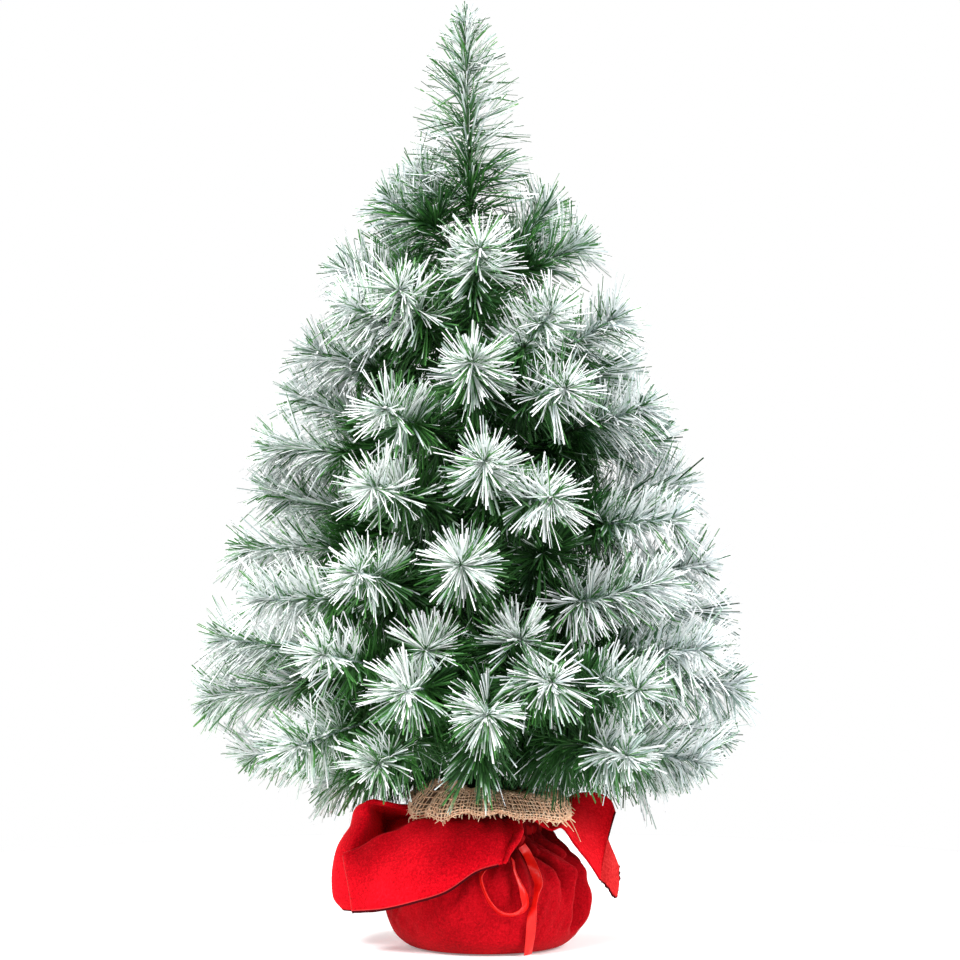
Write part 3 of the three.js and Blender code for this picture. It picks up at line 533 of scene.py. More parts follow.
def build_needles(runs, seed):
    """runs: list of (line, settings). Returns the joined arrays of all their needles."""
    P, D, L, U, K, SP = [], [], [], [], [], []
    for i, (line, kw) in enumerate(runs):
        p, d, l, u, g = needles_along(line, seed=seed * 50 + i, **kw)
        P.append(p), D.append(d), L.append(l), U.append(u), K.append(np.full(len(p), kw.get("white", 0.0))), SP.append(np.full(len(p), float(kw.get("sprig", False))))
    P, D, L, U, K, SP = map(np.concatenate, (P, D, L, U, K, SP))
    g = rng(11, seed)
    N = len(P)
    slack = g.uniform(-6, 5, N)
    for _ in range(4):
        q = P + D * L[:, None]
        over = np.hypot(q[:, 0] - LEAN * q[:, 2], q[:, 1]) - (outline(q[:, 2]) + slack)
        L = np.maximum(L - np.clip(over, 0, 9), 11)
        L = np.maximum(L - np.clip(q[:, 2] - 601 - slack * 0.3, 0, 6), 9)
    axis = np.stack([LEAN * P[:, 2], np.zeros(N), P[:, 2]], 1)
    rad = P + D * L[:, None] * 0.5 - axis
    rad[:, 2] = 0
    outw = unit(unit(rad) * 0.75 + np.array([0, 0, 0.65]))
    W = unit(np.cross(D, outw) + 1e-6)
    roll = np.radians(g.normal(0, 42, N))[:, None]
    W = unit(W * np.cos(roll) + np.cross(D, W) * np.sin(roll))
    flip = np.sum(np.cross(D, W) * outw, 1) < 0
    W[flip] *= -1
    bend = unit(g.normal(0, 1, (N, 3)))
    bend = (bend - D * np.sum(bend * D, 1, keepdims=True)) * (0.4 + 6.6 * g.random(N) ** 2)[:, None] + np.array([0, 0, -0.9])
    w = 0.70 + 0.62 * g.random(N) ** 1.6
    f = np.zeros((N, 3))
    for k, t in enumerate((0.0, 0.5, 1.0)):
        q = P + D * (L * t)[:, None]
        rn = np.hypot(q[:, 0] - LEAN * q[:, 2], q[:, 1]) / outline(q[:, 2])
        # the sprigs that point along the depth carry their frost nearer the end
        deep = 1 - smooth(0.30, 0.66, np.abs(q[:, 0] - LEAN * q[:, 2]) / outline(q[:, 2]))
        deep = deep * np.interp(q[:, 2], [150, 215, 320, 440], [1.30, 0.88, 0.34, 0.0])
        lo = np.interp(q[:, 2], [0, 330, 430, 500, 560], [0.57, 0.53, 0.36, 0.20, -0.2]) + 0.19 * deep
        lo = lo + 0.05 * SP * smooth(0.6, 0.3, U)
        by_place = smooth(lo, lo + 0.24 - 0.08 * deep, rn)
        by_sprig = SP * smooth(0.18 + 0.44 * deep, 0.50 + 0.32 * deep, U + 0.12 * D[:, 2]) * (0.72 + 0.28 * smooth(-0.3, 0.6, D[:, 2]))
        by_sprig = np.where(K > 0, np.maximum(by_sprig, K), by_sprig)
        root = 0.34 + 0.56 * smooth(0.82, 0.96, U) * SP
        f[:, k] = np.maximum(by_place, by_sprig) * (root, 0.95, 1.0)[k]
    coat = np.clip(g.normal(1.06, 0.16, N), 0.3, 1.3)
    flank = np.clip(np.abs(P[:, 0]) / np.maximum(outline(P[:, 2]), 1), 0, 1)
    # some needles stay green: partly real unflocked needles, partly painted shade for the dark lines between frosted
    # needles
    green = g.random(N) < 0.24 - 0.11 * smooth(0.4, 0.75, flank)
    # the flanks and the leader carry more frost; on the flanks it is partly painted light, whitening the sides as the
    # lamps bleach them
    coat += 0.26 * smooth(0.35, 0.75, flank) + 0.12 * smooth(440, 500, P[:, 2])
    coat[green] *= g.uniform(0.15, 0.5, green.sum())
    under = (D[:, 2] < -0.35) & (P[:, 2] < 190) & (g.random(N) < 0.5)
    coat[under] *= 0.45
    f = np.clip(f * coat[:, None], 0, 1) + np.minimum(K, 0)[:, None]
    bare = g.random(N) < 0.17 - 0.12 * smooth(0.45, 0.8, flank)
    f[bare, 2] *= g.uniform(0.2, 0.7, bare.sum())
    speck = (f[:, 2] < 0.4) & (g.random(N) < 0.13)
    f[speck, 2] = g.uniform(0.55, 0.95, speck.sum())
    half = speck & (g.random(N) < 0.35)
    f[half, 1] = g.uniform(0.35, 0.8, half.sum())
    f += g.uniform(0, 0.10, N)[:, None]
    f = np.clip(f, 0, 0.995)
    # painted light: the tint leans lighter on the left, towards the key lamp, and darker on the right
    side = P[:, 0] / 180
    tint = np.clip(g.beta(2.0, 2.4, N) - 0.22 * side, 0.01, 0.99)
    inner = f[:, 2] < 0.35
    tint = np.where(inner, np.clip(tint + 0.16, 0.01, 0.99), tint)
    # the underside keeps less frost than the top, as flocking does, set low partly as painted shade; on the flanks it
    # keeps more, partly as painted light
    gain = np.clip(g.uniform(0.10, 0.72, N) + 0.40 * smooth(0.30, 0.70, flank) * ~green * (g.random(N) < 0.8), 0, 1)
    return needle_arrays(P, D, W, bend, L, w, f, tint, gain)


def plant(name, runs, wires, seed, body, *replaced):
    """One branch: its needles and its twisted wires in one piece."""
    v, q, uq, t, ut = build_needles(runs, seed)
    wv, wq, wc = join_arrays(wires)
    off = len(v)
    faces = [q, wq + off, t, wc + off]
    uv = [uq, np.full((*wq.shape, 2), 0.5), ut, np.full((*wc.shape, 2), 0.5)]
    # the wires take frost too, out where the sprigs end
    far = lambda f: 1 + (np.hypot(wv[f[:, 0], 0] - LEAN * wv[f[:, 0], 2], wv[f[:, 0], 1]) > 0.56 * outline(wv[f[:, 0], 2]))
    mat = np.concatenate([np.zeros(len(q)), far(wq), np.zeros(len(t)), far(wc)])
    o = new_mesh(name, np.concatenate([v, wv]), faces, [NEEDLES, WIRE, WIRE_FROST], mat, uv, shade=False)
    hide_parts(*replaced)
    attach(o, body)
    return o


def trunk_radius(z):
    return 8.0 if z < 225 else 7.0 if z < 345 else 5.6


def wire_tube(line, r, pitch=7.0, sides=6):
    n = max(6, int(np.linalg.norm(np.diff(line, axis=0), axis=1).sum() / 1.9))
    line = resample(line, n)
    length = np.linalg.norm(np.diff(line, axis=0), axis=1).sum()
    return tube_arrays(line, r, r * 0.58, sides, spin=length / pitch)


count = 0
for i, (az, zr, fork, tips) in enumerate(BRANCHES):
    name = f"branch_{i + 1:02d}"
    a = math.radians(az)
    reach = trunk_radius(zr) + 3.1
    pivot = np.array([LEAN * zr + reach * math.cos(a), reach * math.sin(a), zr])
    S = np.array(fork, float)
    g = rng(3, i)
    runs, wires = [], []
    main = catmull([pivot, pivot * 0.5 + S * 0.5 + np.array([0, 0, 0.8]), S], 10)
    root = pivot - np.array([math.cos(a), math.sin(a), 0]) * 2.0 + np.array([0, 0, -4.0])
    wires.append(wire_tube(catmull([root, pivot, *main[5::5]], 8), 1.45, 9.0, 6))
    runs.append((resample(main, 24), dict(density=6.2, length=(29, 41), angle=((0, 80), (1, 64)), fan=False, skip=0.02)))
    for k, t in enumerate(tips):
        T, C = np.array(t[:3]), np.array(t[3:])
        wob = g.normal(0, 1.1, 3)
        line = catmull([S - (C - S) * 0.12, S * 0.5 + C * 0.5 + wob * 0.4, C + wob, C * 0.45 + T * 0.55 - wob * 0.5, T], 10)
        wires.append(wire_tube(line, 1.15, 7.0, 6))
        side = float(smooth(0.5, 0.8, abs(T[0]) / np.hypot(T[0], T[1])))
        runs.append((resample(line, 40), dict(density=9.4 + 2.8 * side, length=(20.5 + 2 * side, 32.5 + 2.5 * side), angle=((0, 70 - 8 * side), (0.6, 65 - 8 * side), (0.88, 59 - 4 * side), (1, 46)), sprig=True)))
    if i == 15:
        # one more side sprig, turned towards the front
        line = catmull([S, (50, -36, 220), (62, -72, 222), (84, -82, 227), (108, -83, 234)], 10)
        wires.append(wire_tube(line, 1.15, 7.0, 6))
        runs.append((resample(line, 40)[:18], dict(density=6.0, length=(24, 34), angle=((0, 74), (1, 66)), fan=False)))
        runs.append((resample(line, 40)[17:], dict(density=11.0, length=(22, 31), angle=((0, 62), (0.7, 56), (1, 40)), sprig=True, white=0.97)))
        # a bare green twig fills the hollow beside it
        twig = catmull([(40, -4, 222), (32, -26, 236), (35, -52, 247), (38, -70, 252)], 8)
        wires.append(wire_tube(twig, 0.9, 6.0, 6))
        runs.append((resample(twig, 24), dict(density=9.5, length=(25, 37), angle=((0, 74), (1, 50)), white=-0.40)))
    if i in (6, 7, 8, 10):
        # a short twig hangs inside the lowest whorl, in front of the trunk
        d = np.array([math.cos(a), math.sin(a), 0.0])
        P0 = main[int(len(main) * (0.42 if i == 10 else 0.30))]
        drop = catmull([P0, P0 + d * 5 + [0, 0, -16], P0 + d * 9 + [2, 0, -30 if i != 10 else -38]], 8)
        wires.append(wire_tube(drop, 0.9, 6.0, 6))
        runs.append((resample(drop, 24), dict(density=9.0, length=(24, 37), angle=((0, 66), (1, 34)), white=-0.35)))
    if i == 10:
        # a green twig hangs from the front sprig, over the burlap
        drop = catmull([(3.4, -104, 165), (2.2, -112, 153), (0.2, -118, 142), (-1.6, -121, 133)], 8)
        wires.append(wire_tube(drop, 0.9, 6.0, 6))
        runs.append((resample(drop, 24), dict(density=9.0, length=(27, 40), angle=((0, 58), (1, 30)), white=-0.42)))
    if zr < 176:
        runs.append((resample(np.vstack([main, S * 0.4 + np.array(tips[0][3:]) * 0.6]), 24), dict(density=7.0, length=(34, 47), angle=((0, 86), (1, 66)), fan=False, down=True, white=-0.25)))
    o = plant(f"sprigs_{i + 1:02d}", runs, wires, 100 + i, name, name)
    count += len(o.data.polygons)

# the leader: one upright sprig, its needles leaning up
foot = np.array([LEAN * 460, 0, 460.0])
top = np.array([LEAN * 590 - 0.5, 0, 590.0])
line = catmull([foot, foot * 0.7 + top * 0.3 + np.array([0.8, 0.5, 0]), foot * 0.35 + top * 0.65 + np.array([-0.9, 0, 0]), top], 14)
o = plant("leader_sprig", [(resample(line, 60), dict(density=9.8, length=(27, 44), angle=((0, 78), (0.35, 72), (0.7, 64), (0.9, 50), (1, 32)), loose=17.0))],
          [wire_tube(line, 1.5, 9.0, 6)], 990, "leader", "leader")
count += len(o.data.polygons)
print("needle faces", count)

# ---------------------------------------------------------------- CAD nodes that keep their own shape
for n, m in (("base_tub", TUB), ("base_weight", CEMENT), ("trunk_socket", SOCKET), ("trunk_rod", STEEL)):
    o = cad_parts[n]
    o.data.materials.clear()
    o.data.materials.append(m)

# ---------------------------------------------------------------- trunk: wires wound with green tape
def tape_sleeve(name, z0, z1, r, seed):
    """A bundle of wires under a spiral of tape: ridges of the wires, and a step at each turn's edge."""
    g = rng(21, seed)
    nz, na = int((z1 - z0) / 0.8), 40
    z = np.linspace(z0, z1, nz)[:, None]
    a = np.linspace(0, 2 * np.pi, na, endpoint=False)[None]
    turn = (z / 8.5 + a / (2 * np.pi)) % 1.0
    lumps = 0.22 * np.cos(9 * a + 0.02 * z + g.uniform(0, 6)) + 0.18 * np.cos(4 * a - 0.03 * z)
    rr = r - 0.5 + 0.38 * turn + lumps * 0.8
    x = LEAN * z + rr * np.cos(a)
    v = np.stack([x, rr * np.sin(a), np.broadcast_to(z, rr.shape)], -1).reshape(-1, 3)
    i = np.arange(nz - 1)[:, None] * na
    k = np.arange(na)[None]
    k2 = (k + 1) % na
    quads = np.stack([i + k, i + k2, i + na + k2, i + na + k], -1).reshape(-1, 4)
    caps = np.stack([np.arange(na)[::-1], (nz - 1) * na + np.arange(na)])
    o = new_mesh(name, v, [quads, caps], [TAPE])
    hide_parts(name.replace("tape", "wrap"))
    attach(o, FIXED)


tape_sleeve("trunk_tape_lower", 57.5, 225, 8.0, 1)
tape_sleeve("trunk_tape_middle", 225.6, 345, 7.0, 2)
tape_sleeve("trunk_tape_upper", 345.6, 456, 5.6, 3)


# ---------------------------------------------------------------- cloth helpers
def place(px, py, y):
    """A point of the front view, in 960ths of the frame, at depth y in millimetres."""
    k = (2000.0 + y) / 2000.0 * 0.639
    return np.array([(px - 480.0) * k - 1.3, y, 296.5 - (py - 480.0) * k])


def grid_surface(rows, nu, nv, closed_u=False):
    """A smooth surface through a grid of points."""
    rows = np.asarray(rows, float)
    per_u = max(2, int(math.ceil(nu / (rows.shape[1] - 1))))
    per_v = max(2, int(math.ceil(nv / (rows.shape[0] - 1))))
    fine = np.array([catmull(r, per_u) for r in rows])
    return np.array([catmull(fine[:, j], per_v) for j in range(fine.shape[1])]).transpose(1, 0, 2)


def wavy(p, seed, scale, amount):
    """Smooth pseudo-random offsets along each axis."""
    g = rng(31, seed)
    out = np.zeros(p.shape[:-1])
    for k in range(5):
        d = unit(g.normal(0, 1, 3)) * (2 * np.pi / (scale * g.uniform(0.6, 1.7)))
        out += np.sin(p @ d + g.uniform(0, 6.28)) / 5
    return out * amount


def normals(S):
    du = np.gradient(S, axis=1)
    dv = np.gradient(S, axis=0)
    return unit(np.cross(du, dv))


def thick_sheet(name, S, t, mats, wrap=False, round_edge=0.35):
    """A closed sheet of thickness t round the grid surface S (rows, cols, 3): a front, a back and a flat band round the
    edge. The front takes mats[0] and the back mats[1].
    """
    N = normals(S)
    nv, nu = S.shape[:2]
    F, B = S + N * t / 2, S - N * t / 2
    verts = np.concatenate([F.reshape(-1, 3), B.reshape(-1, 3)])
    idx = np.arange(nv * nu).reshape(nv, nu)
    cols = np.arange(nu if wrap else nu - 1)
    nxt = (cols + 1) % nu
    q = np.stack([idx[:-1][:, cols], idx[:-1][:, nxt], idx[1:][:, nxt], idx[1:][:, cols]], -1).reshape(-1, 4)
    off = nv * nu
    faces = [q, (q + off)[:, ::-1]]
    mat = [np.zeros(len(q)), np.full(len(q), len(mats) - 1)]
    edges = []
    if not wrap:
        edges += [(idx[:, 0][::1], False), (idx[:, -1], True)]
    edges += [(idx[0], True), (idx[-1], False)]
    for line, rev in edges:
        a, b = line[:-1], line[1:]
        if wrap:
            a, b = line, np.roll(line, -1)
        e = np.stack([a, b, b + off, a + off], -1)
        if rev:
            e = e[:, ::-1]
        # winding: the edge's outward side follows the front's winding
        faces.append(e[:, ::-1])
        mat.append(np.zeros(len(e)))
    vv = np.linspace(0.02, 0.98, nv)
    uu = np.linspace(0.02, 0.98, nu + (1 if wrap else 0))
    uv = []
    n_front = len(q)
    j = np.tile(cols, nv - 1)
    i = np.repeat(np.arange(nv - 1), len(cols))
    quv = np.stack([np.stack([uu[j], vv[i]], -1), np.stack([uu[j + 1], vv[i]], -1), np.stack([uu[j + 1], vv[i + 1]], -1), np.stack([uu[j], vv[i + 1]], -1)], 1)
    front = quv * [0.48, 1.0]
    back = (quv * [0.48, 1.0] + [0.51, 0])[:, ::-1]
    uv = [front, back] + [np.full((len(f), 4, 2), 0.001) for f in faces[2:]]
    o = new_mesh(name, verts, faces, mats, np.concatenate(mat), uv)
    return o


def fix_normals(o):
    """Faces out, and no stray doubles."""
    import bmesh

    bm = bmesh.new()
    bm.from_mesh(o.data)
    bmesh.ops.remove_doubles(bm, verts=bm.verts, dist=1e-6)
    bmesh.ops.recalc_face_normals(bm, faces=bm.faces)
    bm.to_mesh(o.data)
    bm.free()
    o.data.update()
    return o


def merge(name, objects):
    """Joins objects into the first one, which takes the name."""
    for o in bpy.context.selected_objects:
        o.select_set(False)
    for o in objects:
        o.select_set(True)
    bpy.context.view_layer.objects.active = objects[0]
    bpy.ops.object.join()
    o = bpy.context.view_layer.objects.active
    o.name = name
    o.data.name = name
    o.select_set(False)
    return o


def edge_cord(name, line, r, mat):
    v, q, c = tube_arrays(resample(line, max(12, int(len(line) * 1.0))), r, r, 6)
    return new_mesh(name, v, [q, c], [mat])


# ---------------------------------------------------------------- the red bag
KNOT_AZ = math.radians(-63)
PROFILE = [(0.1, 0.7), (18, 0.7), (34, 0.7), (44, 0.8), (49.5, 1.8), (54.5, 5.2), (58.6, 10), (62, 19), (63.6, 28), (63.6, 37), (61.6, 45), (57.6, 53), (51, 60.5), (43.4, 66.2), (37.2, 70.2), (34.3, 74), (33.8, 79), (35.2, 83.2), (38.2, 86.6)]


def bag_surface(nu=340, nv=104):
    prof = resample(catmull([(r, z, 0) for r, z in PROFILE], 16), nv)
    r0, z = prof[:, 0][:, None], prof[:, 1][:, None]
    th = np.linspace(-np.pi, np.pi, nu, endpoint=False)[None]
    g = rng(41)
    # pleats run down from the neck, and those near the knot lean towards it
    conv = 0.50 * smooth(28, 74, z)
    d = (th - KNOT_AZ + np.pi) % (2 * np.pi) - np.pi
    near = smooth(1.9, 0.4, np.abs(d))
    d2 = d / (1 - conv * near * 0.85)
    phi = KNOT_AZ + d2
    dr = np.zeros_like(phi + z)
    neck = smooth(30, 72, z)
    for k in range(34):
        c = -np.pi + 2 * np.pi * (k + g.uniform(-0.32, 0.32)) / 34
        depth = g.uniform(1.4, 4.4)
        width = g.uniform(0.030, 0.060)
        end = g.uniform(18, 58)
        w = smooth(end, 73, z) ** 1.3
        q = ((phi - c + np.pi) % (2 * np.pi) - np.pi) / (width * (1 + 0.5 * (1 - neck)))
        dr += w * depth * (-np.exp(-(q**2)) + 0.55 * np.exp(-((np.abs(q) - 1.9) ** 2) / 0.7))
    # the long folds, each a valley with a rolled ridge beside it: (z, azimuth) down the fold
    folds = [
        ([(86, -22), (74, -18), (62, -18), (52, -22), (40, -26), (28, -26), (10, -24)], 9.5, 0.066, 4.6),
        ([(86, -60), (72, -57), (64, -52), (58, -45), (52, -38), (45, -36), (34, -39)], 6.6, 0.060, 3.8),
        ([(86, -48), (74, -41), (66, -32), (58, -27), (50, -27), (42, -29)], 3.6, 0.040, 2.0),
        ([(86, -67), (66, -70), (50, -73), (36, -74), (22, -74)], 2.0, 0.060, 1.6),
        ([(86, -76), (66, -84), (48, -90), (38, -92)], 2.2, 0.060, 1.0),
        ([(86, -2), (74, 0), (60, 2), (44, 4), (30, 4)], 4.2, 0.060, 2.4),
        ([(86, -95), (66, -101), (46, -106), (30, -108)], 2.0, 0.080, 1.0),
        ([(86, 16), (66, 20), (44, 24), (24, 25)], 3.2, 0.080, 1.6),
        ([(86, 60), (66, 57), (44, 52), (18, 50)], 3.6, 0.070, 2.0),
        ([(86, 110), (66, 114), (44, 118), (26, 119)], 3.0, 0.070, 1.6),
        ([(86, 165), (66, 168), (44, 170), (20, 171)], 3.4, 0.070, 1.8),
        ([(86, -140), (66, -143), (44, -147), (22, -150)], 2.8, 0.075, 1.6),
    ]
    for line, depth, width, ridge in folds:
        zs, azs = [p[0] for p in line][::-1], [math.radians(p[1]) for p in line][::-1]
        c = np.interp(z, zs, azs)
        w = smooth(line[-1][0] - 3, line[-1][0] + 16, z) * (0.35 + 0.65 * smooth(90, 62, z))
        q = ((th - c + np.pi) % (2 * np.pi) - np.pi) / width
        depth, ridge = depth * 1.35, ridge * 1.3
        dr += w * (-depth * np.exp(-(np.abs(q) ** 1.6)) + ridge * np.exp(-((q - 1.9) ** 2) / 1.1) + 0.5 * ridge * np.exp(-((q + 1.9) ** 2) / 1.1))
    # the shoulder on the right sinks under a standing pleat
    right = np.exp(-(((th - 0.02) / 0.42) ** 2))
    dr += right * (2.0 * np.exp(-(((z - 70.5) / 3.0) ** 2)) - 4.2 * np.exp(-(((z - 60) / 7.0) ** 2)) - 2.6 * np.exp(-(((z - 47) / 6.0) ** 2)) - 1.2 * np.exp(-(((z - 34) / 9.0) ** 2)))
    body = smooth(4, 22, z) * smooth(78, 55, z)
    dr += body * (1.5 * np.sin(2 * th + 0.6) + 0.9 * np.sin(3 * th + 2.1) + 0.5 * np.sin(7 * th + 1.0 + z / 16))
    dr += smooth(6, 20, z) * (0.35 * np.sin(th * 23 + z / 5) * np.sin(z / 7 + 3 * th) + 0.25 * np.sin(41 * th - z / 3.1))
    r = np.maximum(r0 + dr * smooth(2, 14, z), 0.05)
    zz = z + 0.25 * dr * smooth(55, 75, z) + np.zeros_like(r)
    # under the knot the neck dips a little
    dip = np.exp(-((((th - KNOT_AZ + np.pi) % (2 * np.pi) - np.pi) / 0.9) ** 2)) * smooth(56, 74, z)
    zz = zz - 3.0 * dip
    return np.stack([BAG_X + r * np.cos(th), r * np.sin(th), np.maximum(zz, 0.7)], -1)


def rows(*spec):
    return [[place(*p) for p in r] for r in spec]


B = bag_surface()
bag = thick_sheet("red_cloth_bag", B, 1.3, [FELT_BAG_SHADED, FELT_BACK], wrap=True)

FRONT = [
    [(21.3, -32.5, 84), (5.8, -37.4, 84.5), (-10.3, -37, 86), (-33, -36, 84.5), (-58, -35, 75.5), (-87, -31, 61)],
    [(21.2, -46, 74.2), (7.4, -53, 77.5), (-11.2, -56, 77.9), (-32.4, -52, 73.7), (-57.5, -44, 65.3), (-86, -36, 54.3)],
    [(16.7, -54, 66.5), (3.7, -62, 67.4), (-16.1, -66, 64.8), (-37.9, -61, 59.2), (-61, -52, 52.5), (-84.5, -42, 46.9)],
    [(14.8, -58, 62), (-0.1, -67, 60.6), (-19.2, -70, 54.2), (-40.2, -67, 46.4), (-62.7, -58, 39.6), (-83.1, -46, 38.7)],
    [(13, -60, 58.5), (-3.2, -68, 54.5), (-22.2, -72, 42.7), (-42.6, -69, 35.5), (-62.6, -61, 30.1), (-81, -50, 27.4)],
]
LEFT = [
    [(-30, -17, 80), (-33, -11, 83), (-35.4, -4, 84), (-34.4, 6.5, 85), (-29, 20, 85)],
    [(-49.6, -10, 75.2), (-59.2, 14, 79), (-69.7, -18, 93.2), (-76.8, 2, 85.4), (-67.1, 18, 85)],
    [(-57.1, -15, 66.9), (-62.8, 6, 69.6), (-73.3, -22, 81.6), (-84.1, -6, 74.8), (-77.5, 20, 69.3)],
    [(-63.2, -22, 53.8), (-70.8, -22, 61.4), (-82.1, -25, 66.2), (-92.3, -8, 62.3), (-85.1, 18, 56)],
    [(-68.2, -25, 44.1), (-75.7, -27, 46.9), (-84.5, -28, 48.3), (-95.9, -12, 46.2), (-90, 12, 40)],
    [(-69.5, -24, 32.6), (-76.9, -27, 32.4), (-83.8, -28, 33.1), (-94.5, -16, 32.2), (-89.7, 4, 28.9)],
    [(-73.3, -22, 27.9), (-77.7, -25, 26.4), (-82.1, -25, 25.2), (-88.1, -18, 24.8), (-86, -6, 25.1)],
]
RIGHT = [
    [(29.5, -26, 84), (36, -16, 85), (39, -4, 85.5), (38.5, 10, 85.5)],
    [(42.3, -22, 75.3), (45.1, -12, 78), (47.3, 2, 81.6), (48.9, 14, 82.9)],
    [(50.5, -23, 76.7), (53.4, -10, 81), (55.7, 4, 86.5), (57.3, 16, 93)],
    [(58.8, -21, 65.7), (64.4, -5, 74), (68.6, 8, 83.5), (72.9, 20, 94.5)],
    [(67.2, -16, 54.4), (72.7, -2, 65.4), (77.6, 8, 76.4), (82.4, 16, 90.4)],
    [(74.9, -12, 42.4), (77.8, -3, 55.3), (80.7, 4, 67.9), (85.4, 10, 83.3)],
]
STRIP = [
    [(74.3, -12, 43.1), (77.1, -4, 55.4), (80, 3, 68)],
    [(79.4, -11, 38.5), (81, -3, 50.2), (82.6, 4, 60.9)],
    [(82, -9, 34.4), (84.2, -2, 42.4), (85.2, 5, 54.4)],
    [(85.3, -7, 30.3), (86.9, 0, 38.3), (87.1, 5, 49.2)],
]
BACK = [
    [(29, 26.5, 85.5), (15.3, 35.2, 85.5), (-0.8, 37.4, 85.5), (-16.3, 32.5, 85.5)],
    [(38, 42, 80), (20, 54, 82), (-4, 54, 82), (-26, 46, 80)],
    [(46, 56, 62), (24, 68, 62), (-6, 70, 62), (-32, 60, 64)],
    [(40, 64, 44), (26, 74, 30), (4, 74, 34), (-20, 68, 46)],
]


def flap(name, grid, seed, nu=54, nv=46, wave=1.0, t=1.25):
    S = grid_surface(grid, nu, nv)
    N = normals(S)
    v = np.linspace(0, 1, S.shape[0])[:, None]
    S = S + N * ((wavy(S, seed, 46, 1.5 * wave) + wavy(S, seed + 9, 17, 0.45 * wave)) * smooth(0.0, 0.5, v))[..., None]
    # gathers where the flap leaves the neck
    u = np.linspace(0, 1, S.shape[1])[None]
    if seed != 4:
        S = S + N * (np.sin(u * 2 * np.pi * 6 + seed) * 1.1 * smooth(0.45, 0.0, v))[..., None]
    return S


parts, hems = [bag], []
for name, grid, seed in (("flap_front", FRONT, 1), ("flap_left", LEFT, 2), ("flap_right", RIGHT, 3), ("flap_strip", STRIP, 4), ("flap_back", BACK, 5)):
    S = flap(name, grid, seed, wave=0.6 if name in ("flap_right", "flap_strip") else 1.0)
    parts.append(thick_sheet(name, S, 1.25, [FELT_TURN, FELT_TURN] if name == "flap_strip" else [FELT, FELT_BACK]))
    if name == "flap_front":
        n = len(S) // 4
        hems.append(edge_cord("hem_a", S[-1, 2:] + wavy(S[-1, 2:], 77, 5, 0.25)[:, None], 0.92, HEM))
        hems.append(edge_cord("hem_b", S[-1, 2:] + np.array([0.0, -0.6, 0.9]), 0.30, STITCH))
        hems.append(edge_cord("hem_c", S[2:, -1], 0.60, STITCH))
        hems.append(edge_cord("hem_d", S[0, S.shape[1] // 2:], 0.55, STITCH))
        # the edge beside the knot rolls over on itself
        line = resample(S[: int(len(S) * 0.97), 0] + np.array([0.6, -1.2, 0]), 60)
        t = np.linspace(0, 1, 60)
        r = 1.3 + 3.3 * np.sin(np.pi * np.clip(t * 0.9 + 0.1, 0, 1)) ** 1.2 * (1 - 0.35 * t)
        v, q, c = tube_arrays(line, r * (1 + 0.12 * np.sin(t * 21)), r * 0.72, 18, spin=0.35)
        parts.append(new_mesh("roll", v, [q, c], [FELT]))
    elif name == "flap_back":
        hems.append(edge_cord("hem_e", np.concatenate([S[8:, 0], S[-1, 1:], S[::-1][1:-8, -1]]), 0.75, HEM))
    elif name == "flap_left":
        hems.append(edge_cord("hem_f", S[-1], 0.8, HEM))
    elif name == "flap_right":
        hems.append(edge_cord("hem_g", S[10:, -1], 0.45, STITCH))
        hems.append(edge_cord("hem_h", S[-1], 0.7, HEM))
    else:
        line = resample(np.concatenate([S[6:, 0], S[-1, 1:]]), 46)
        hems.append(edge_cord("hem_i", line + np.random.default_rng(5).normal(0, 0.45, line.shape), 0.62, HEM))
for o in parts:
    fix_normals(o)
cloth = merge("red_cloth_square", parts)
hem = merge("red_cloth_hem", hems)
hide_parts("red_cloth")
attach(cloth, FIXED)
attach(hem, FIXED)


# ---------------------------------------------------------------- burlap
def burlap_path(th):
    """Edge and crest of the ruffle at azimuth th."""
    deg = np.degrees(th)
    keys = [-180, -150, -125, -100, -80, -55, -30, -10, 20, 60, 110, 150, 180]
    edge_r = [46, 50, 51, 51, 51, 53, 58, 57, 46, 44, 45, 46, 46]
    edge_z = [90, 84, 84, 88, 88, 84, 81, 83, 92, 90, 89, 91, 92]
    crest_r = [34, 33, 34, 36, 38, 42, 47, 46, 36, 34, 34, 34, 34]
    crest_z = [104, 106, 106, 103, 102, 100, 98, 99, 103, 103, 102, 103, 104]
    f = lambda v: np.interp(deg, keys, v)
    g = 1.6 * np.sin(9 * th + 1) + 1.2 * np.sin(17 * th + 2.2) + 0.9 * np.sin(29 * th)
    calm = 1 - 0.75 * np.exp(-(((deg + 45) / 42) ** 2))
    return f(edge_r) + g * 1.1 * calm, f(edge_z) + 1.5 * calm * np.sin(13 * th + 0.4), f(crest_r) + g * 0.8 * calm, f(crest_z) + 1.1 * calm * np.sin(11 * th)


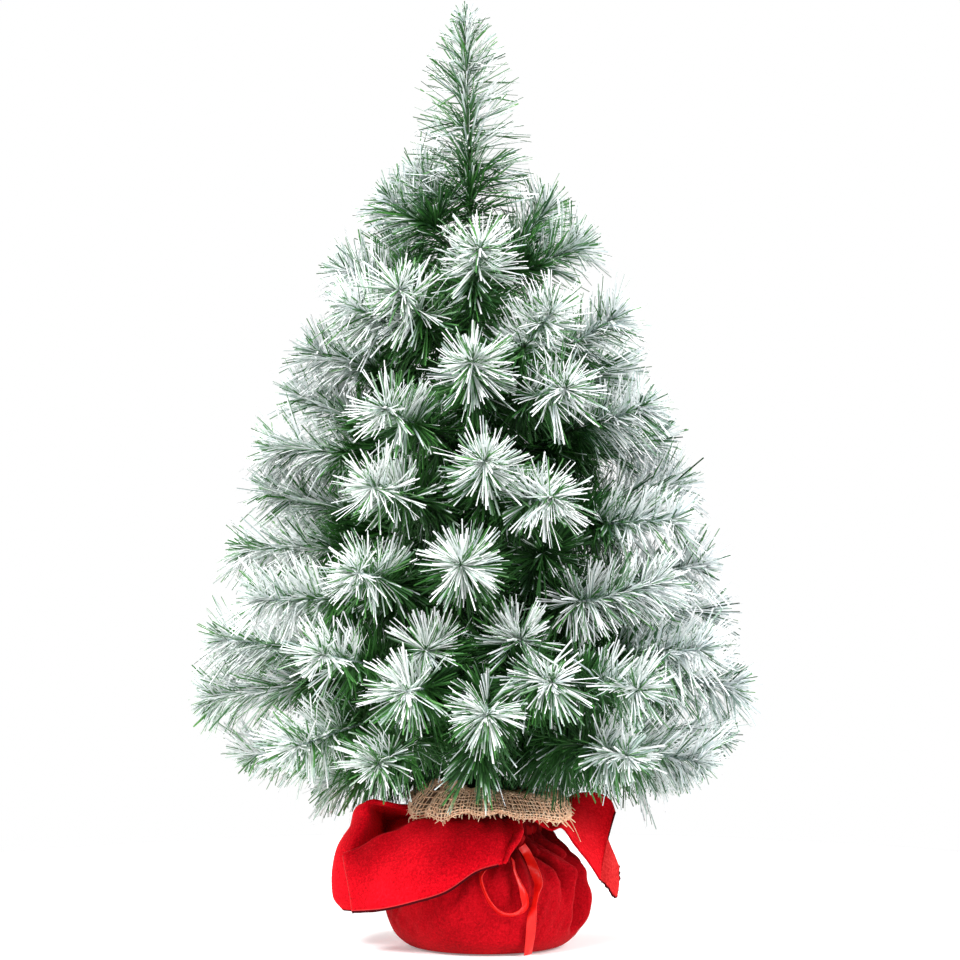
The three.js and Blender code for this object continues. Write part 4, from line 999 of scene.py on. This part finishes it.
def ruffle(th, s):
    """Point of the ruffle at azimuth th and s from 0 at the tie to 1 at the raw edge."""
    er, ez, cr, cz = burlap_path(th)
    ks = np.array([0.0, 0.14, 0.32, 0.52, 0.72, 0.88, 1.0])
    R = np.stack([12.6 + 0 * er, 15.5 + 0 * er, 23 + 0 * er, cr * 0.90, cr * 1.06, er * 0.94 + cr * 0.06, er])
    Z = np.stack([88.5 + 0 * er, 93 + 0 * er, 99.5 + 0 * er, cz, cz - 2.2, ez * 0.72 + cz * 0.28, ez])
    i = np.clip(np.searchsorted(ks, s, side="right") - 1, 0, 5)
    t = (s - ks[i]) / (ks[i + 1] - ks[i])
    j = np.arange(len(th))
    def cr_(V):
        a, b = V[np.clip(i - 1, 0, 6), j], V[i, j]
        c, d = V[i + 1, j], V[np.clip(i + 2, 0, 6), j]
        return 0.5 * (2 * b + (c - a) * t + (2 * a - 5 * b + 4 * c - d) * t**2 + (3 * b - a - 3 * c + d) * t**3)
    r, z = cr_(R), cr_(Z)
    pleat = np.sin(15 * th + 0.7) * 1.3 * smooth(0.9, 0.1, s) * smooth(0, 0.12, s)
    return np.stack([1.0 + (r + pleat * 0.4) * np.cos(th), (r + pleat * 0.4) * np.sin(th), z + pleat], -1)


def weave():
    g = rng(51)
    n_r, n_c = 168, 25
    parts = []
    lift = 0.42
    # threads out from the tie to the raw edge
    for k in range(n_r):
        a = 2 * np.pi * k / n_r - np.pi + g.uniform(-0.25, 0.25) * 2 * np.pi / n_r
        s = np.linspace(0.02, 1.0, n_c * 2 + 1)
        drift = 0.010 * np.sin(s * 7 + k * 0.37) + 0.006 * np.sin(s * 19 + k)
        p = ruffle(np.full(len(s), a) + drift, s)
        q = ruffle(np.full(len(s), a + 0.01) + drift, s)
        w = ruffle(np.full(len(s), a) + drift, np.clip(s - 0.01, 0, 1))
        n = unit(np.cross(q - p, p - w) + 1e-9)
        up = np.where(np.arange(len(s)) % 4 == 0, 1, np.where(np.arange(len(s)) % 4 == 2, -1, 0)) * (1 if k % 2 else -1)
        p = p + n * (up * lift)[:, None]
        fray = g.uniform(0.8, 4.2)
        tail = p[-1] + unit(p[-1] - p[-2]) * fray + g.normal(0, 0.5, 3)
        p = np.vstack([p, (p[-1] + tail) / 2 + g.normal(0, 0.15, 3), tail])
        r = g.uniform(0.34, 0.56) * np.ones(len(p))
        r[-1] *= 0.5
        parts.append(tube_arrays(p, r, r * 0.8, 5))
    # threads round the ruffle
    for c in range(n_c):
        s0 = (c + 0.7) / n_c
        s0 = 0.06 + 0.925 * s0 ** 0.92
        m = n_r * 2
        a = np.linspace(-np.pi, np.pi, m, endpoint=False)
        sv = np.clip(s0 + 0.006 * np.sin(5 * a + c) + 0.003 * np.sin(31 * a + c * 2), 0.03, 0.995)
        p = ruffle(a, sv)
        q = ruffle(a + 0.01, sv)
        w = ruffle(a, sv - 0.01)
        n = unit(np.cross(q - p, p - w) + 1e-9)
        up = np.where(np.arange(m) % 4 == 0, 1, np.where(np.arange(m) % 4 == 2, -1, 0)) * (1 if c % 2 else -1)
        p = p + n * (up * lift)[:, None]
        rr = g.uniform(0.36, 0.55)
        # a ring with a small gap hidden behind, so that it closes as a tube
        p = np.roll(p, m // 4, axis=0)
        parts.append(tube_arrays(p[:-1], rr, rr * 0.8, 5))
    # loose threads pulled out of the raw edge
    for th, drop, out in ((-14, 16, 6), (-28, 7, 4), (-48, 5, 3), (-118, 6, 5), (-152, 7, 4), (70, 9, 5), (150, 8, 5)):
        a = math.radians(th)
        p0 = ruffle(np.array([a]), np.array([0.97]))[0]
        d = np.array([math.cos(a), math.sin(a), 0])
        pts = [p0, p0 + d * out * 0.5 + [0, 0, -drop * 0.3], p0 + d * out * 0.8 + [1.0, 0.5, -drop * 0.65], p0 + d * out + [2.2, -0.4, -drop]]
        p = catmull(pts, 6)
        r = np.linspace(0.42, 0.2, len(p))
        parts.append(tube_arrays(p, r, r, 5))
    v, q, c = join_arrays(parts)
    uvq = np.full((len(q), 4, 2), 0.5)
    return new_mesh("burlap_weave", v, [q, c], [JUTE])


burlap = weave()
# the second ply: burlap is gathered double, and the inner one shows between the threads; its jute is darkened to about
# a quarter as painted shade, for the shadow behind the weave
ss = np.linspace(0.02, 0.90, 30)
aa = np.linspace(-np.pi, np.pi, 240, endpoint=False)
ply = np.array([ruffle(aa, np.full(len(aa), x)) for x in ss])
ply = ply - normals(ply) * 0.0 + np.stack([-np.cos(aa) * 1.2, -np.sin(aa) * 1.2, np.full(len(aa), -1.9)], -1)[None]
inner_ply = fix_normals(thick_sheet("burlap_inner_ply", ply, 0.5, [JUTE_SHADE], wrap=True))
# the closed bag under the cloth
prof = resample(catmull([(r, z, 0) for r, z in [(0.3, 3.5), (30, 3.5), (44.6, 3.6), (49.6, 7.4), (50.9, 20), (50.9, 36), (50.4, 47.6), (45.4, 55.5), (37.6, 61.4), (27.6, 67.4), (14.6, 76.9), (11.3, 82.4), (11.3, 88.2)]], 10), 90)
th = np.linspace(-np.pi, np.pi, 160, endpoint=False)[None]
r, z = prof[:, 0][:, None], prof[:, 1][:, None]
fold = 0.5 * smooth(48, 70, z) * np.sin(24 * th) * smooth(90, 80, z) + 0.25 * np.sin(5 * th + z / 9) * smooth(8, 20, z) * smooth(60, 40, z)
S = np.stack([1.0 + (r + fold) * np.cos(th), (r + fold) * np.sin(th), z + 0 * th], -1)
sack = fix_normals(thick_sheet("burlap_bag", S, 0.9, [JUTE], wrap=True))
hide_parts("burlap_wrap")
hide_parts("burlap_wrap")
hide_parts("burlap_wrap")
for o in (burlap, sack, inner_ply):
    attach(o, FIXED)

# the twine round the burlap's neck: three strands laid up
parts = []
for k in range(3):
    a = np.linspace(0, 2 * np.pi, 160, endpoint=False)
    ph = a * 14 + k * 2.0944
    rr = 14.0 + 0.75 * np.cos(ph)
    p = np.stack([1.0 + rr * np.cos(a), rr * np.sin(a), 85.6 + 0.75 * np.sin(ph)], -1)
    parts.append(tube_arrays(p, 0.72, 0.72, 6))
v, q, c = join_arrays(parts)
twine = new_mesh("jute_twine", v, [q, c], [JUTE])
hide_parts("burlap_tie")
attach(twine, FIXED)


# ---------------------------------------------------------------- ribbon
def ribbon_mesh(name, pts, width=6.0, t=0.45, lift=0.0, cup=0.45, steps=150, turn=None):
    """A flat ribbon with selvedges, its face turned out from the bag; turn is (0..1, degrees) pairs of roll."""
    line = resample(catmull(pts, 16), steps)
    T = unit(np.gradient(line, axis=0))
    out = np.stack([line[:, 0] - BAG_X, line[:, 1], np.zeros(len(line))], 1)
    out = unit(out - T * np.sum(out * T, 1, keepdims=True))
    side = np.cross(T, out)
    if turn:
        a = np.interp(np.linspace(0, 1, steps), [p[0] for p in turn], [p[1] for p in turn])
        for _ in range(3):
            a = np.convolve(np.pad(a, 4, mode="edge"), np.ones(9) / 9, "valid")
        a = np.radians(a)[:, None]
        out, side = out * np.cos(a) + side * np.sin(a), side * np.cos(a) - out * np.sin(a)
    nu = 13
    u = np.linspace(-1, 1, nu)
    prof_out = cup * (1 - u**2) + 0.14 * (np.abs(u) > 0.86)
    line = line + out * lift
    S = line[:, None] + side[:, None] * (u * width / 2)[None, :, None] + out[:, None] * prof_out[None, :, None]
    o = fix_normals(thick_sheet(name, S, t, [SATIN]))
    return o, line


LOOP = [(10.5, -54.6, 61.0), (4.0, -58.4, 57.8), (-0.6, -62.4, 51.0), (1.6, -66.0, 42.2), (6.4, -66.6, 33.6), (12.6, -66.2, 28.6), (20.4, -65.4, 28.2), (26.4, -63.8, 32.6), (25.2, -62.8, 41.8), (20.6, -59.8, 53.0), (19.0, -54.0, 60.4)]
TAIL = [(24.6, -44.2, 68), (28.1, -44.9, 62.7), (31.6, -51.2, 56), (35.1, -56.2, 46.4), (33.8, -59.2, 39.7), (31.2, -60.6, 26.9), (30, -57.6, 14), (28.4, -53.2, 1.4)]


def total(line):
    return float(np.linalg.norm(np.diff(line, axis=0), axis=1).sum()) * MM


for name, pts, far, cad, turn in (
    ("ribbon_hanging_loop", LOOP, "object", "ribbon_loop", [(0, 52), (0.12, 68), (0.34, 72), (0.46, 66), (0.58, 62), (0.66, 26), (0.72, 10), (0.80, 50), (0.9, 64), (1, 52)]),
    ("ribbon_long_end", TAIL, "bare", "ribbon_tail", [(0, -14), (0.2, 26), (0.36, 60), (0.46, 88), (0.56, 92), (0.64, 56), (0.8, 12), (1, -14)]),
):
    o, line = ribbon_mesh(name, pts, turn=turn)
    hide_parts(cad)
    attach(o, FIXED)

# the band round the neck, gathered as it is pulled tight, in a darker satin as painted shade
a = np.linspace(-np.pi, np.pi, 240, endpoint=False)
u = np.linspace(-1, 1, 13)
rr = 35.6 + 0.5 * np.sin(34 * a) + 0.35 * np.sin(19 * a + 1)
S = np.stack([np.stack([BAG_X + (rr + 0.5 * (1 - x * x)) * np.cos(a), (rr + 0.5 * (1 - x * x)) * np.sin(a), 75.4 + x * 3.1 + 0.35 * np.sin(6 * a) + 0 * a], -1) for x in u])
band = fix_normals(thick_sheet("ribbon_neck_band", S, 0.5, [SATIN_SHADE], wrap=True))
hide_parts("ribbon_band")

# the knot: a wrapped lump with the ribbon's own folds across it, in a darker satin as painted shade
nu, nv = 60, 40
U, V = np.meshgrid(np.linspace(0, 2 * np.pi, nu, endpoint=False), np.linspace(0.02, np.pi - 0.02, nv))
rad = 1 + 0.10 * np.sin(3 * U + 2 * V) + 0.07 * np.sin(5 * V + U) + 0.05 * np.cos(9 * U)
K = np.stack([rad * np.sin(V) * np.cos(U) * 4.2, rad * np.sin(V) * np.sin(U) * 5.6, rad * np.cos(V) * 4.6], -1)
ca, sa = math.cos(math.radians(-64)), math.sin(math.radians(-64))
K = np.stack([K[..., 0] * ca - K[..., 1] * sa + BAG_X + 42.2 * ca, K[..., 0] * sa + K[..., 1] * ca + 42.2 * sa, K[..., 2] + 71.6], -1)
idx = np.arange(nu * nv).reshape(nv, nu)
q = np.stack([idx[:-1], np.roll(idx, -1, 1)[:-1], np.roll(idx, -1, 1)[1:], idx[1:]], -1).reshape(-1, 4)
knot = fix_normals(new_mesh("ribbon_tied_knot", K.reshape(-1, 3), [q, np.stack([idx[0][::-1], idx[-1]])], [SATIN_SHADE]))
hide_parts("ribbon_knot")
for o in (band, knot):
    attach(o, FIXED)

# ---------------------------------------------------------------- camera, floor, light
def area(name, loc, aim, size, energy, colour=(1, 1, 1)):
    l = bpy.data.lights.new(name, "AREA")
    l.shape, l.size, l.size_y = "RECTANGLE", size[0], size[1]
    l.energy, l.color = energy, colour
    o = bpy.data.objects.new(name, l)
    o.location = loc
    o.rotation_euler = (Vector(aim) - Vector(loc)).to_track_quat("-Z", "Y").to_euler()
    bpy.context.scene.collection.objects.link(o)
    return o


cam = bpy.data.cameras.new("camera")
cam.sensor_width = 36
cam.lens = 36 * 2.0 / 0.6134
eye = bpy.data.objects.new("camera", cam)
eye.location = (-0.0013, -2.0, 0.2965)
eye.rotation_euler = (math.radians(90), 0, 0)
bpy.context.scene.collection.objects.link(eye)
bpy.context.scene.camera = eye

m, nt, b = material("pale_floor")
c = ramp(nt, [(0.4, (0.86, 0.86, 0.86)), (0.6, (0.88, 0.88, 0.88))])
nt.links.new(noise(nt, coords(nt), 3, 2), c.inputs[0])
nt.links.new(c.outputs[0], b.inputs["Base Color"])
b.inputs["Roughness"].default_value = 0.9
b.inputs["Specular IOR Level"].default_value = 0.1
b.inputs["Emission Color"].default_value = (1, 1, 1, 1)
b.inputs["Emission Strength"].default_value = 0.22
a = np.linspace(0, 2 * np.pi, 96, endpoint=False)
floor = new_mesh("floor", np.stack([620 * np.cos(a), 620 * np.sin(a), -0.3 + 0 * a], 1), [np.arange(96)[None]], [m])

world = bpy.data.worlds.new("studio")
bpy.context.scene.world = world
world.use_nodes = True
wt = world.node_tree
soft = wt.nodes["Background"]
soft.inputs[0].default_value = (1, 1, 1, 1)
soft.inputs[1].default_value = 0.21
white = wt.nodes.new("ShaderNodeBackground")
white.inputs[0].default_value = (1, 1, 1, 1)
white.inputs[1].default_value = 1.0
seen = wt.nodes.new("ShaderNodeLightPath")
both = wt.nodes.new("ShaderNodeMixShader")
wt.links.new(seen.outputs["Is Camera Ray"], both.inputs[0])
wt.links.new(soft.outputs[0], both.inputs[1])
wt.links.new(white.outputs[0], both.inputs[2])
wt.links.new(both.outputs[0], wt.nodes["World Output"].inputs[0])
area("key", (-1.0, -1.9, 1.9), (0, 0, 0.3), (0.8, 0.8), 90)
area("fill", (1.5, -1.5, 1.3), (0, 0, 0.3), (1.0, 1.0), 38)
area("rim_left", (-1.5, 0.6, 1.0), (0, 0, 0.3), (0.9, 1.4), 30)
area("rim_right", (1.5, 0.6, 1.0), (0, 0, 0.3), (0.9, 1.4), 30)
area("top", (0.1, -0.2, 2.2), (0, 0, 0.2), (1.2, 1.2), 24)
bpy.context.scene.view_settings.view_transform = "Standard"
bpy.context.scene.view_settings.look = "None"
